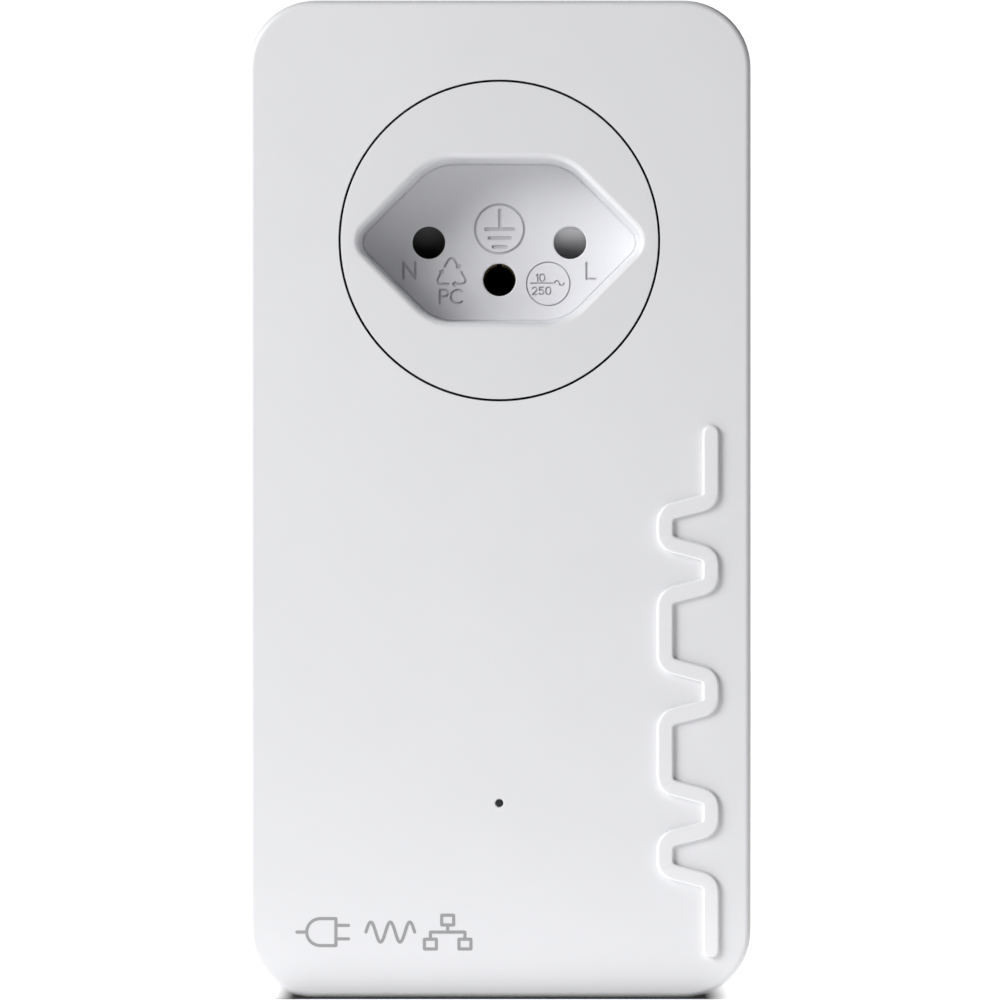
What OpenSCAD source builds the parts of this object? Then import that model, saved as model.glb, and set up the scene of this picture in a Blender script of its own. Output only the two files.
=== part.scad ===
// Powerline adapter with a recessed three-pin socket in front and a three-pin plug behind.
//
// Every piece is drawn lying on its back: x to the right, y towards the top edge, z towards the
// front face, with z = 0 on the face that meets the wall and x = y = 0 midway between the two
// live pins. stand() then turns the piece upright, so that the front faces -Y and +Z is up.

/* [Casing] */
// Width of the casing
body_w = 67; // [66.5:0.5:69]
// Height of the casing
body_h = 133; // [132.5:0.5:135]
// Depth from the wall face to the front face
body_d = 42; // [42:0.5:43]
// Radius of the four corners, seen from the front
corner_r = 9; // [8:0.5:9.5]
// Thickness of the casing's walls
wall = 2; // [1.9:0.1:2]
// Depth of the front cover, from the front face back to the seam
cover_d = 8; // [7.8:0.1:8.2]
// Width of the seam between the front cover and the rear housing
seam = 0.3; // [0.2:0.1:0.4]
// Rounding of the front edge
front_edge_r = 0.8; // [0.5:0.1:1.2]
// Rounding of the rear edge
rear_edge_r = 2.5; // [1.5:0.5:3]

/* [Socket and plug] */
// Distance from the top edge down to the centre of the socket
socket_drop = 32; // [32:0.5:33]
// Diameter of the round socket insert
insert_dia = 42.4; // [42:0.1:42.6]
// Gap between the insert and the front cover, all round
insert_gap = 0.2; // [0.1:0.05:0.3]
// Depth of the six-sided recess
recess_depth = 10; // [9.5:0.5:10]
// Distance from the centre to the recess's sharp side corner, before rounding
recess_tip = 19.8; // [19.6:0.1:20]
// Half of the recess's height
recess_half_h = 10.9; // [10.8:0.05:11]
// Distance between the two live pins
pin_spacing = 19; // [19]
// Distance of the earth pin below the line between the live pins
earth_drop = 5; // [5]
// Diameter of a pin
pin_dia = 4; // [4]
// Diameter of a pin hole in the socket
pin_hole_dia = 4.4; // [4.3:0.05:4.5]
// Length of the pins beyond the plug's face
pin_length = 19; // [18.5:0.5:19]
// How far the six-sided plug body stands out of the wall face
plug_depth = 9.5; // [9:0.5:10]
// Play between the plug body and a socket's recess, all round
plug_play = 0.5; // [0.3:0.1:0.6]
// How far the shutter slides to open the live holes
shutter_travel = 4.8; // [4.8]

/* [Controls and port] */
// Height of the status light above the bottom edge
light_rise = 26; // [25:0.5:27]
// Diameter of the status light's hole
light_hole_dia = 1.1; // [0.9:0.1:1.4]
// Height of the pairing button above the bottom edge
button_rise = 39; // [38:0.5:40]
// Length of the pairing button
button_l = 12; // [10:0.5:13]
// Width of the pairing button
button_w = 5; // [4:0.5:5]
// Travel of the pairing button
button_travel = 0.5; // [0.3:0.1:0.5]
// Diameter of the reset pinhole
reset_hole_dia = 1.8; // [1.4:0.1:2]

/* [Raised signal trace on the front] */
// Height of the trace above the front face
trace_h = 0.7; // [0.4:0.1:0.9]
// Width of the trace's line
trace_w = 2.2; // [1.8:0.1:2.4]

/* [Ventilation] */
// Width of a slot
slot_w = 1.3; // [1:0.1:1.5]
// Distance from one slot to the next
slot_pitch = 3.2; // [3:0.1:3.5]

/* [Hidden] */
$fn = 48;

// ---- places worked out from the sizes above
top_y = socket_drop;
bottom_y = socket_drop - body_h;
mid_y = (top_y + bottom_y) / 2;
seam_z = body_d - cover_d;
side_x = body_w / 2;
eps = 0.01;
past = 1;                       // how far a cutting tool runs past the face that it opens

lip_d = 2.2;                    // depth of the cover's lip behind the seam
half_wall = wall / 2;
lip_outer = wall + 0.1;         // how much narrower the lip is than the body, with its play

screw_x = side_x - 7.5;         // the four casing screws
screw_ys = [top_y - 7.5, bottom_y + 7.5];
boss_r = 4.2;
screw_head_r = 2.8;
screw_shank_r = 1.5;
screw_seat_z = 22;              // depth of the counterbore that the screw heads sit in

insert_r = insert_dia / 2;
insert_flange_r = insert_r + 2;
insert_flange_t = 1.5;
recess_floor_z = body_d - recess_depth;
recess_floor_t = 2;
recess_wall_t = 1.6;
insert_back_z = recess_floor_z - recess_floor_t;
recess_tip_r = 2.6;
recess_side_r = 7;
plug_tip = recess_tip - plug_play * sqrt(2);
plug_half_h = recess_half_h - plug_play;

pin_r = pin_dia / 2;
live_x = pin_spacing / 2;
line_at = [live_x, 0];
neutral_at = [-live_x, 0];
earth_at = [0, -earth_drop];
pin_hole_r = pin_hole_dia / 2;
pin_root_r = 1.75;              // the pin where it is held in the plug insert
pin_neck_r = 1.45;              // the pin under its insulating sleeve
sleeve_l = 9.5;
pin_tip_l = 1.5;
pin_tip_r = 1.1;
plug_disc_r = 18.9;
plug_flange_r = 21;
plug_flange_t = 2;
plug_back_z = wall + plug_flange_t;

carrier_r = 20.4;
carrier_wall_t = 2;
carrier_back_z = 9;
carrier_front_z = insert_back_z - 5;
carrier_screw_at = [14, 11];
carrier_boss_r = 2.6;
carrier_screw_seat_z = 20;

contact_bore_r = 2.05;
contact_r = 2.75;
contact_base_z = carrier_back_z + 2;
contact_floor_z = contact_base_z + 1.5;
contact_top_z = carrier_front_z - 0.5;
lug_t = 0.8;
pin_lug_x = [6, 12];            // the flat lugs of a live pin and of a live contact, on the line side
contact_lug_x = [7.2, 14.2];
lug_end_y = -18;
rivet_r = 1.2;

shutter_gap = 0.3;              // between the shutter and the floors before and behind it
shutter_z0 = carrier_front_z + shutter_gap;
shutter_z1 = insert_back_z - shutter_gap;
shutter_half = 2.7;             // half of a shutter pad's width and height
shutter_bar_top = 6.5;
shutter_stem_top = 8;
spring_z = (shutter_z0 + shutter_z1) / 2;
spring_r = 1.6;
spring_wire_r = 0.25;
spring_turns = 6;
spring_spare = 0.9;             // what is left between the turns when the shutter is right up
spring_top = shutter_stem_top + shutter_travel + 2 * spring_turns * spring_wire_r + spring_spare;

main_z = 6;                     // rear face of the main board
board_t = 1.6;
main_face_z = main_z + board_t;
main_top = -25;
comm_z = 30;                    // rear face of the communication board
comm_face_z = comm_z + board_t;
comm_top = -47;
board_bottom = bottom_y + 4;
board_half_w = side_x - 4.5;
spacer_x = side_x - 8;
spacer_ys = [-52, -83];
main_screw_at = [25, -29];
stud_r = 1.2;
header_x = -27;
header_y = -67;
header_pins = 6;
header_pitch = 2.54;
header_body_h = 2.5;

light_y = bottom_y + light_rise;
light_hole_r = light_hole_dia / 2;
button_y = bottom_y + button_rise;
button_z = 26;
button_proud = 0.4;
button_skirt_x = side_x - wall - 0.3;
button_skirt_back_x = 29.9;
switch_face_x = 26.5;
switch_bore_r = 1.4;
switch_stem_r = 1.25;
switch_spare = 0.6;             // what is left between key and switch with the button pressed
button_stem_x = switch_face_x + button_travel + switch_spare;
reset_at = [16, 28.2];          // x and z of the reset switch's axis
reset_face_y = bottom_y + 6;
reset_stem_r = 0.9;
reset_stem_l = 3.1;
reset_stem_in = 1.1;            // how deep the stem stands in its switch at rest
reset_travel = 0.25;
reset_guide_r = 2.4;            // the bushing round the reset pinhole, pressed into the bottom wall
reset_flange_r = 3.2;
reset_flange_t = 0.6;

jack_w = 15.9;
jack_h = 13.5;
jack_l = 20.7;
jack_mouth_y = bottom_y + 0.3;
jack_z0 = comm_z - jack_h;
jack_skin = 0.3;
jack_gap = 0.3;                 // between the jack and the casing's opening
port_w = 11.9;
port_z0 = jack_z0 + 2.8;
port_h = 7;
port_l = 13;
latch_w = 6.2;
latch_h = 1.9;
panel_half_w = 10;              // the snap-in panel round the jack, open towards the seam
panel_z0 = 13.5;
panel_play = 0.05;
panel_flange = 1.4;
panel_flange_t = 0.6;
contact_wires = 8;
contact_wire_pitch = 1.02;

label_w = 42;
label_h = 30;
label_y = -62;
label_recess = 0.2;

// The trace is a two-level signal that climbs the front face near its right edge.
trace_low_x = side_x - 11.4;
trace_high_x = side_x - 5.3;
trace_start_y = bottom_y + 6.5;
trace_runs = [9, 4, 4, 9, 4, 9, 4, 4, 9];
trace_rise = 1.6;               // how far up a change of level runs

slot_depth_z = [6, 18];         // the side slots, from the wall face forwards
side_slots = 19;
side_slot_y = -90;
top_slots = 9;

// ---- outlines and shared shapes
function arc_points(centre, r, from, to, steps = 8) =
    [for (i = [0 : steps]) let (a = from + (to - from) * i / steps) centre + r * [cos(a), sin(a)]];

function rounded_rect(w, h, r) = concat(
    arc_points([w / 2 - r, h / 2 - r], r, 0, 90),
    arc_points([r - w / 2, h / 2 - r], r, 90, 180),
    arc_points([r - w / 2, r - h / 2], r, 180, 270),
    arc_points([w / 2 - r, r - h / 2], r, 270, 360));

// A six-sided outline with 45 degree slants: two tips at the sides, four blunt corners.
function hexagon(tip, half_h, tip_r, side_r) =
    let (tip_x = tip - tip_r * sqrt(2),
         blunt_x = tip - half_h - side_r * (sqrt(2) - 1),
         y = half_h - side_r)
    concat(
        arc_points([tip_x, 0], tip_r, -45, 45),
        arc_points([blunt_x, y], side_r, 45, 90),
        arc_points([-blunt_x, y], side_r, 90, 135),
        arc_points([-tip_x, 0], tip_r, 135, 225),
        arc_points([-blunt_x, -y], side_r, 225, 270),
        arc_points([blunt_x, -y], side_r, 270, 315));

// A span of x, or its mirror image on the other side.
function on_side(side, span) = side > 0 ? span : [-span[1], -span[0]];
function unit(v) = v / norm(v);
function left_of(a, b) = let (d = unit(b - a)) [-d[1], d[0]];

// One side of a line of the given half width, with mitred corners.
function line_side(p, half) = [for (i = [0 : len(p) - 1])
    let (before = left_of(p[max(i - 1, 0)], p[max(i, 1)]),
         after = left_of(p[min(i, len(p) - 2)], p[min(i + 1, len(p) - 1)]),
         m = unit(before + after))
    p[i] + half * m / (m * before)];
function reversed(list) = [for (i = [len(list) - 1 : -1 : 0]) list[i]];
function line_outline(p, w) = concat(line_side(p, w / 2), reversed(line_side(p, -w / 2)));

function sum_to(list, n) = n < 0 ? 0 : list[n] + sum_to(list, n - 1);
function trace_x(level) = level % 2 == 0 ? trace_high_x : trace_low_x;
trace_path = [for (i = [0 : len(trace_runs) - 1], end = [0, 1])
    [trace_x(i), trace_start_y + i * trace_rise + sum_to(trace_runs, end == 1 ? i : i - 1)]];

// A smooth curve through the points, and a round tube along it.
function spline_point(a, b, c, d, t) =
    ((2 * b) + (c - a) * t + (2 * a - 5 * b + 4 * c - d) * t * t + (3 * b - a - 3 * c + d) * t * t * t) / 2;
function spline(p, steps) = let (last = len(p) - 1) concat(
    [for (i = [0 : last - 1], s = [0 : steps - 1])
        spline_point(p[max(i - 1, 0)], p[i], p[i + 1], p[min(i + 2, last)], s / steps)],
    [p[last]]);
function tangent(p, i) = unit(p[min(i + 1, len(p) - 1)] - p[max(i - 1, 0)]);

// side_of is a direction that the tube never runs along, so that its rings don't twist.
module tube(p, r, sides, side_of) {
    rings = [for (i = [0 : len(p) - 1])
        let (t = tangent(p, i), u = unit(cross(side_of, t)), v = cross(t, u))
        for (k = [0 : sides - 1]) p[i] + r * (cos(360 * k / sides) * u + sin(360 * k / sides) * v)];
    walls = [for (i = [0 : len(p) - 2], k = [0 : sides - 1])
        let (a = i * sides + k, b = i * sides + (k + 1) % sides)
        each [[a, b, a + sides], [b, b + sides, a + sides]]];
    near_end = [for (k = [sides - 1 : -1 : 0]) k];
    far_end = [for (k = [0 : sides - 1]) (len(p) - 1) * sides + k];
    polyhedron(points = rings, faces = [for (f = concat(walls, [near_end, far_end])) reversed(f)]);
}

// A box with rounded corners seen from the front, and rounded front or rear edges.
module soft_box(w, h, r, z0, z1, round0 = 0, round1 = 0) {
    profile = concat(
        [[0, z0]],
        round0 > 0 ? arc_points([r - round0, z0 + round0], round0, -90, 0, 5) : [[r, z0]],
        round1 > 0 ? arc_points([r - round1, z1 - round1], round1, 0, 90, 5) : [[r, z1]],
        [[0, z1]]);
    for (i = [0 : 3]) {
        sx = i == 0 || i == 3 ? 1 : -1;
        sy = i < 2 ? 1 : -1;
        translate([sx * (w / 2 - r), sy * (h / 2 - r), 0]) rotate(90 * i)
            rotate_extrude(angle = 90) polygon(profile);
    }
    for (turn = [0, 180]) rotate(turn) {
        translate([w / 2 - r, h / 2 - r, 0]) rotate([90, 0, 0]) linear_extrude(h - 2 * r) polygon(profile);
        translate([r - w / 2, h / 2 - r, 0]) rotate([90, 0, 90]) linear_extrude(w - 2 * r) polygon(profile);
    }
    translate([r - w / 2, r - h / 2, z0]) cube([w - 2 * r, h - 2 * r, z1 - z0]);
}

module stand() {
    rotate([90, 0, 0]) children();
}
module at_body() {
    translate([0, mid_y, 0]) children();
}
module post(at, r, z0, z1) {
    translate([at[0], at[1], z0]) cylinder(r = r, h = z1 - z0);
}
module block(x, y, z) {
    translate([x[0], y[0], z[0]]) cube([x[1] - x[0], y[1] - y[0], z[1] - z[0]]);
}
module prism(outline, z0, z1) {
    translate([0, 0, z0]) linear_extrude(z1 - z0) polygon(outline);
}
module at_casing_screws() {
    for (sx = [-1, 1], y = screw_ys) translate([sx * screw_x, y, 0]) children();
}
module at_carrier_screws() {
    for (sx = [-1, 1], sy = [-1, 1])
        translate([sx * carrier_screw_at[0], sy * carrier_screw_at[1], 0]) children();
}
module at_spacers() {
    for (sx = [-1, 1], y = spacer_ys) translate([sx * spacer_x, y, 0]) children();
}

// ---- casing
module front_cover() {
    color("whitesmoke") difference() {
        union() {
            difference() {
                union() {
                    at_body() soft_box(body_w, body_h, corner_r, seam_z, body_d, 0, front_edge_r);
                    at_body() soft_box(body_w - lip_outer, body_h - lip_outer, corner_r - lip_outer / 2,
                        seam_z - lip_d, seam_z + past);
                }
                at_body() soft_box(body_w - 2 * wall, body_h - 2 * wall, corner_r - wall,
                    seam_z - lip_d - past, body_d - wall);
            }
            at_casing_screws() post([0, 0], screw_shank_r + 1.6, seam_z + seam, body_d - wall + eps);
            post([0, light_y], 2.6, body_d - wall - 4, body_d - wall + eps);
            prism(line_outline(trace_path, trace_w), body_d - past / 2, body_d + trace_h);
        }
        post([0, 0], insert_r + insert_gap, body_d - wall - past, body_d + past);
        post([0, light_y], light_hole_r, body_d - wall - past, body_d + past);
        post([0, light_y], 1.45, body_d - wall - 4 - past, body_d - wall);
        at_casing_screws() post([0, 0], screw_shank_r + 0.05, seam_z, body_d - wall - 0.5);
    }
}

module rear_housing() {
    color("white") difference() {
        union() {
            difference() {
                at_body() soft_box(body_w, body_h, corner_r, 0, seam_z - seam, rear_edge_r, 0);
                at_body() soft_box(body_w - 2 * wall, body_h - 2 * wall, corner_r - wall,
                    wall, seam_z + past);
                at_body() soft_box(body_w - wall, body_h - wall, corner_r - half_wall,
                    seam_z - lip_d, seam_z + past);
            }
            at_casing_screws() post([0, 0], boss_r, wall - eps, seam_z + seam);
            at_spacers() post([0, 0], 2.6, wall - eps, main_z);
            for (sx = [-1, 1]) post([sx * main_screw_at[0], main_screw_at[1]], 2.6, wall - eps, main_z);
        }
        post([0, 0], plug_disc_r + 0.1, -past, wall + past);
        at_casing_screws() {
            post([0, 0], 3, -past, screw_seat_z);
            post([0, 0], screw_shank_r + 0.1, screw_seat_z - eps, seam_z + past);
        }
        at_spacers() post([0, 0], stud_r + 0.05, wall + 0.5, main_z + past);
        for (sx = [-1, 1])
            post([sx * main_screw_at[0], main_screw_at[1]], 1.15, wall + 0.5, main_z + past);
        block([-panel_half_w - panel_play, panel_half_w + panel_play],
            [bottom_y - past, bottom_y + wall + past], [panel_z0 - panel_play, seam_z]);
        facing_down(bottom_y + wall + past) cylinder(r = reset_guide_r + 0.05, h = wall + 2 * past);
        facing_right(side_x - wall - past) linear_extrude(wall + 2 * past)
            polygon(rounded_rect(button_w + 0.4, button_l + 0.4, button_w / 2 + 0.2));
        translate([0, label_y, 0]) block([-label_w / 2 - 0.3, label_w / 2 + 0.3],
            [-label_h / 2 - 0.3, label_h / 2 + 0.3], [-past, label_recess]);
        vent_slots();
    }
}
// A panel that snaps into the bottom wall round the jack: its flange rests against the wall's inside.
module port_panel() {
    lip_z = seam_z - lip_d;
    color("white") difference() {
        union() {
            block([-panel_half_w, panel_half_w], [bottom_y, bottom_y + wall], [panel_z0, lip_z]);
            block([-panel_half_w, panel_half_w], [bottom_y, bottom_y + half_wall], [panel_z0, seam_z - seam]);
            block([-panel_half_w - panel_flange, panel_half_w + panel_flange],
                [bottom_y + wall, bottom_y + wall + panel_flange_t], [panel_z0 - panel_flange, lip_z]);
        }
        block([-jack_w / 2 - jack_gap, jack_w / 2 + jack_gap], [bottom_y - past, bottom_y + wall + past],
            [jack_z0 - jack_gap, comm_z + jack_gap]);
    }
}
// Draws along +x at the pairing button: its z is the distance from the middle of the casing.
module facing_right(x0) {
    translate([x0, button_y, button_z]) rotate([0, 90, 0]) children();
}
// Draws along -y on the reset switch's axis, from the height y0 down.
module facing_down(y0) {
    translate([reset_at[0], y0, reset_at[1]]) rotate([90, 0, 0]) children();
}
module vent_slots() {
    for (side = [-1, 1], i = [0 : side_slots - 1]) {
        x = side * (side_x - wall / 2);
        y = side_slot_y + i * slot_pitch;
        block([x - wall, x + wall], [y - slot_w / 2, y + slot_w / 2], slot_depth_z);
    }
    for (i = [0 : top_slots - 1]) {
        x = (i - (top_slots - 1) / 2) * slot_pitch;
        block([x - slot_w / 2, x + slot_w / 2], [top_y - wall - past, top_y + past], slot_depth_z);
    }
    for (row = [-1, 1], i = [0 : 2]) {
        y = label_y + row * (label_h / 2 + 6 + i * slot_pitch);
        block([-14, 14], [y - slot_w / 2, y + slot_w / 2], [-past, wall + past]);
    }
}

module housing_screws() {
    color("silver") at_casing_screws() {
        difference() {
            post([0, 0], screw_head_r, screw_seat_z - 2, screw_seat_z);
            translate([0, 0, screw_seat_z - 2 - eps]) cylinder(r = 1.3, h = 1.2, $fn = 6);
        }
        post([0, 0], screw_shank_r, screw_seat_z, body_d - wall - 1.5);
    }
}

module rating_label() {
    color("lightgray") translate([0, label_y, 0.05])
        linear_extrude(label_recess - 0.05) polygon(rounded_rect(label_w, label_h, 1.5));
}

// ---- socket
module socket_insert() {
    color("white") difference() {
        union() {
            post([0, 0], insert_r, body_d - wall - eps, body_d);
            post([0, 0], insert_flange_r, body_d - wall - insert_flange_t, body_d - wall);
            prism(hexagon(recess_tip + recess_wall_t * sqrt(2), recess_half_h + recess_wall_t,
                recess_tip_r + recess_wall_t, recess_side_r + recess_wall_t),
                insert_back_z, body_d - wall - eps);
            at_carrier_screws() post([0, 0], carrier_boss_r, insert_back_z, body_d - wall - eps);
        }
        prism(hexagon(recess_tip, recess_half_h, recess_tip_r, recess_side_r),
            recess_floor_z, body_d + past);
        for (at = [line_at, neutral_at, earth_at])
            post(at, pin_hole_r, insert_back_z - past, recess_floor_z + past);
        at_carrier_screws() post([0, 0], 1.05, insert_back_z - past, insert_back_z + 6.5);
    }
}

// A bar with two sloping pads. Two pins that push on both slopes slide it upwards.
module shutter_slider() {
    pad = [[shutter_half, shutter_z0], [shutter_half, shutter_z1], [shutter_half - 1, shutter_z1],
        [-shutter_half, shutter_z0 + 0.6], [-shutter_half, shutter_z0]];
    color("gainsboro") {
        for (side = [-1, 1]) translate([side * live_x - shutter_half, 0, 0])
            rotate([90, 0, 90]) linear_extrude(2 * shutter_half) polygon(pad);
        block([-10.5, 10.5], [1.8, shutter_bar_top], [shutter_z0, shutter_z1]);
        block([-3, 3], [shutter_bar_top - eps, shutter_stem_top], [shutter_z0, shutter_z1]);
        translate([0, shutter_stem_top + 1.2, spring_z]) rotate([90, 0, 0]) cylinder(r = 0.9, h = 1.3);
    }
}

module shutter_spring() {
    length = spring_top - shutter_stem_top - 2 * spring_wire_r;
    steps = 12 * spring_turns;
    helix = [for (i = [0 : steps])
        let (a = 360 * i / 12, y = shutter_stem_top + spring_wire_r + length * i / steps)
        [spring_r * cos(a), y, spring_z + spring_r * sin(a)]];
    color("silver") tube(helix, spring_wire_r, 6, [0, 1, 0]);
}

module contact_carrier() {
    color("dimgray") difference() {
        union() {
            post([0, 0], carrier_r, carrier_back_z, carrier_front_z);
            difference() {
                post([0, 0], carrier_r, plug_back_z, insert_back_z);
                post([0, 0], carrier_r - carrier_wall_t, plug_back_z - past, insert_back_z + past);
            }
            at_carrier_screws() post([0, 0], carrier_boss_r, plug_back_z, insert_back_z);
            block([-4, 4], [spring_top, carrier_r - 1.5], [carrier_front_z - eps, insert_back_z]);
            block([-3.5, 3.5], [-1, 1.7], [carrier_front_z - eps, insert_back_z - 0.5]);
        }
        for (at = [line_at, neutral_at, earth_at]) {
            post(at, contact_r + 0.65, contact_base_z, carrier_front_z + past);
            post(at, rivet_r + 0.1, carrier_back_z - past, contact_base_z + eps);
        }
        at_carrier_screws() {
            post([0, 0], 1.15, plug_back_z, insert_back_z + past);
            post([0, 0], 2.2, plug_back_z - past, carrier_screw_seat_z);
        }
        block([-15, 15], [-carrier_r - past, -12.5], [plug_back_z - past, carrier_back_z]);
    }
}

// A split tube that grips a pin, riveted to a flat lug behind the carrier.
module pin_contact(at) {
    color("goldenrod") {
        difference() {
            post(at, contact_r, contact_base_z, contact_top_z);
            post(at, contact_bore_r, contact_floor_z, contact_top_z + past);
            translate([at[0], at[1], contact_floor_z + 1]) {
                block([-4, 4], [-0.35, 0.35], [0, contact_top_z]);
                block([-0.35, 0.35], [-4, 4], [0, contact_top_z]);
            }
        }
        post(at, rivet_r, carrier_back_z - lug_t, contact_base_z + eps);
    }
}
module live_contact(side) {
    pin_contact([side * live_x, 0]);
    color("goldenrod") difference() {
        block(on_side(side, contact_lug_x), [lug_end_y, 2.5], [carrier_back_z - lug_t, carrier_back_z]);
        post([side * carrier_screw_at[0], -carrier_screw_at[1]],
            carrier_boss_r + 0.3, carrier_back_z - past, carrier_back_z + past);
    }
}
module earth_contact() {
    pin_contact(earth_at);
    color("goldenrod") block([-3, 3], [lug_end_y, -2.5], [carrier_back_z - lug_t, carrier_back_z]);
}
// Steel rings that keep the split tubes closed.
module contact_clamp_rings() {
    color("silver") for (at = [line_at, neutral_at, earth_at]) difference() {
        post(at, contact_r + 0.5, contact_top_z - 3.5, contact_top_z - 1.5);
        post(at, contact_r, contact_top_z - 4, contact_top_z - 1);
        translate([at[0], at[1], contact_top_z - 4]) block([-0.4, 0.4], [0, 5], [0, 4]);
    }
}

// ---- plug
module plug_insert() {
    color("white") difference() {
        union() {
            post([0, 0], plug_disc_r, 0, wall + eps);
            post([0, 0], plug_flange_r, wall, plug_back_z);
            prism(hexagon(plug_tip, plug_half_h, recess_tip_r, recess_side_r), -plug_depth, eps);
        }
        for (at = [line_at, neutral_at, earth_at])
            post(at, pin_root_r + 0.05, -plug_depth - past, plug_back_z + past);
    }
}
// The bare end of a pin, from a height down to the rounded tip.
module pin_end(at, z1) {
    tip_z = -plug_depth - pin_length;
    translate([at[0], at[1], 0]) {
        translate([0, 0, tip_z + pin_tip_l]) cylinder(r = pin_r, h = z1 - tip_z - pin_tip_l);
        translate([0, 0, tip_z]) cylinder(r1 = pin_tip_r, r2 = pin_r, h = pin_tip_l);
    }
}
module live_pin(side) {
    at = [side * live_x, 0];
    color("silver") {
        pin_end(at, -plug_depth - sleeve_l);
        post(at, pin_neck_r, -plug_depth - sleeve_l - eps, -plug_depth + eps);
        post(at, pin_root_r, -plug_depth, plug_back_z);
        post(at, rivet_r, plug_back_z - eps, plug_back_z + lug_t + 0.5);
        difference() {
            block(on_side(side, pin_lug_x), [lug_end_y - 1.5, 3], [plug_back_z, plug_back_z + lug_t]);
            post([side * carrier_screw_at[0], -carrier_screw_at[1]], carrier_boss_r + 0.3,
                plug_back_z - past, plug_back_z + past);
        }
    }
}
module earth_pin() {
    color("silver") {
        pin_end(earth_at, -plug_depth);
        post(earth_at, pin_root_r, -plug_depth - eps, plug_back_z + eps);
        post(earth_at, 2.4, plug_back_z, plug_back_z + 1.2);
        post(earth_at, rivet_r, plug_back_z + 1, carrier_back_z - lug_t);
    }
}
module pin_sleeve(at) {
    color("darkslategray") difference() {
        post(at, pin_r, -plug_depth - sleeve_l, -plug_depth);
        post(at, pin_neck_r + 0.02, -plug_depth - sleeve_l - past, -plug_depth + past);
    }
}

// ---- leads inside the casing
wire_r = 1.1;
pin_wire_z = plug_back_z + lug_t + wire_r + 0.05;
contact_wire_z = carrier_back_z - lug_t - wire_r - 0.05;
board_wire_z = main_face_z + wire_r + 0.05;
module lead(points) {
    tube(spline(points, 4), wire_r, 8, [1, 0, 0]);
}
module in_wire(side) {
    x = side * 7.6;
    lead([[x, -13, pin_wire_z], [x, -16, pin_wire_z], [x, -19, pin_wire_z + 0.4],
        [x, -22.2, board_wire_z - 0.2], [x, -25.5, board_wire_z + 0.1], [x, -28.5, board_wire_z]]);
}
module out_wire(side) {
    x = side * 12.4;
    lead([[x, -13.9, contact_wire_z], [x, -15.5, contact_wire_z], [x, -18.5, contact_wire_z],
        [x + side * 1, -22.4, board_wire_z], [x + side * 2, -25, board_wire_z + 0.1],
        [x + side * 2, -27.2, board_wire_z]]);
}
module earth_lead() {
    lead([[0, -9.5, contact_wire_z], [0, -14, contact_wire_z], [0, -18.5, contact_wire_z],
        [0, -22.4, board_wire_z], [0, -25.5, board_wire_z + 0.1], [0, -28.5, board_wire_z]]);
}

// ---- main board and its power supply
module board(top, z) {
    notch_x = screw_x - boss_r - 0.5;
    notch_y = screw_ys[1] + boss_r + 0.5;
    difference() {
        block([-board_half_w, board_half_w], [board_bottom, top], [z, z + board_t]);
        for (side = [0, 1]) mirror([side, 0, 0])
            block([notch_x, side_x], [bottom_y, notch_y], [z - past, z + board_t + past]);
        at_spacers() post([0, 0], stud_r + 0.15, z - past, z + board_t + past);
    }
}
module main_board() {
    color("darkgreen") difference() {
        board(main_top, main_z);
        for (sx = [-1, 1]) post([sx * main_screw_at[0], main_screw_at[1]], 1.3,
            main_z - past, main_face_z + past);
    }
}
module pan_screw(r_head, r_shank, length) {
    cross_l = r_head * 0.7;
    difference() {
        cylinder(r = r_head, h = 1.7);
        block([-cross_l, cross_l], [-0.3, 0.3], [0.9, 2]);
        block([-0.3, 0.3], [-cross_l, cross_l], [0.9, 2]);
    }
    translate([0, 0, -length]) cylinder(r = r_shank, h = length + eps);
}
// The small screws: two in the main board, four in the communication board, four that hold the
// contact carrier to the socket insert from behind.
module inner_screws() {
    color("silver") {
        for (sx = [-1, 1]) translate([sx * main_screw_at[0], main_screw_at[1], main_face_z])
            pan_screw(2.3, 1.1, 4.8);
        at_spacers() translate([0, 0, comm_face_z]) pan_screw(2.2, stud_r, 5);
        at_carrier_screws() translate([0, 0, carrier_screw_seat_z]) mirror([0, 0, 1])
            pan_screw(2, 1, insert_back_z + 6 - carrier_screw_seat_z);
    }
}
module insulation_sheet() {
    color("lightyellow") block([-21, 21], [board_bottom + 2, main_top - 2], [wall, wall + 0.25]);
}
module board_spacers() {
    color("goldenrod") at_spacers() {
        difference() {
            translate([0, 0, main_face_z]) cylinder(r = 2.6, h = comm_z - main_face_z, $fn = 6);
            post([0, 0], stud_r + 0.05, comm_z - 6, comm_z + past);
        }
        post([0, 0], stud_r, wall + 1, main_face_z + eps);
    }
}

module on_main(at) {
    translate([at[0], at[1], main_face_z]) children();
}
choke_at = [15, -39];
choke_r = [4.5, 9];
choke_z = main_face_z + 1.1;
choke_h = 7.5;
turn_w = 1;
turn_t = 0.9;
turns = 14;
fuse_at = [0, -33];
varistor_at = [0, -42];
suppression_at = [-4, -56];
mains_choke_at = [-17, -65.8];
transformer_at = [14.5, -66];
safety_at = [[-3, -66], [-3, -72]];
bulk_at = [-15.5, -70];
bulk_r = 6.25;
rectifier_at = [-4, -80];
optocoupler_at = [4.5, -80];
controller_at = [6, -88];
coupling_at = [-3, -91];
output_at = [[14, -82], [14, -91.2]];
output_r = 4;

module filter_cores() {
    color("olive") for (side = [-1, 1]) difference() {
        post([side * choke_at[0], choke_at[1]], choke_r[1], choke_z, choke_z + choke_h);
        post([side * choke_at[0], choke_at[1]], choke_r[0], choke_z - past, choke_z + choke_h + past);
    }
}
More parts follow.
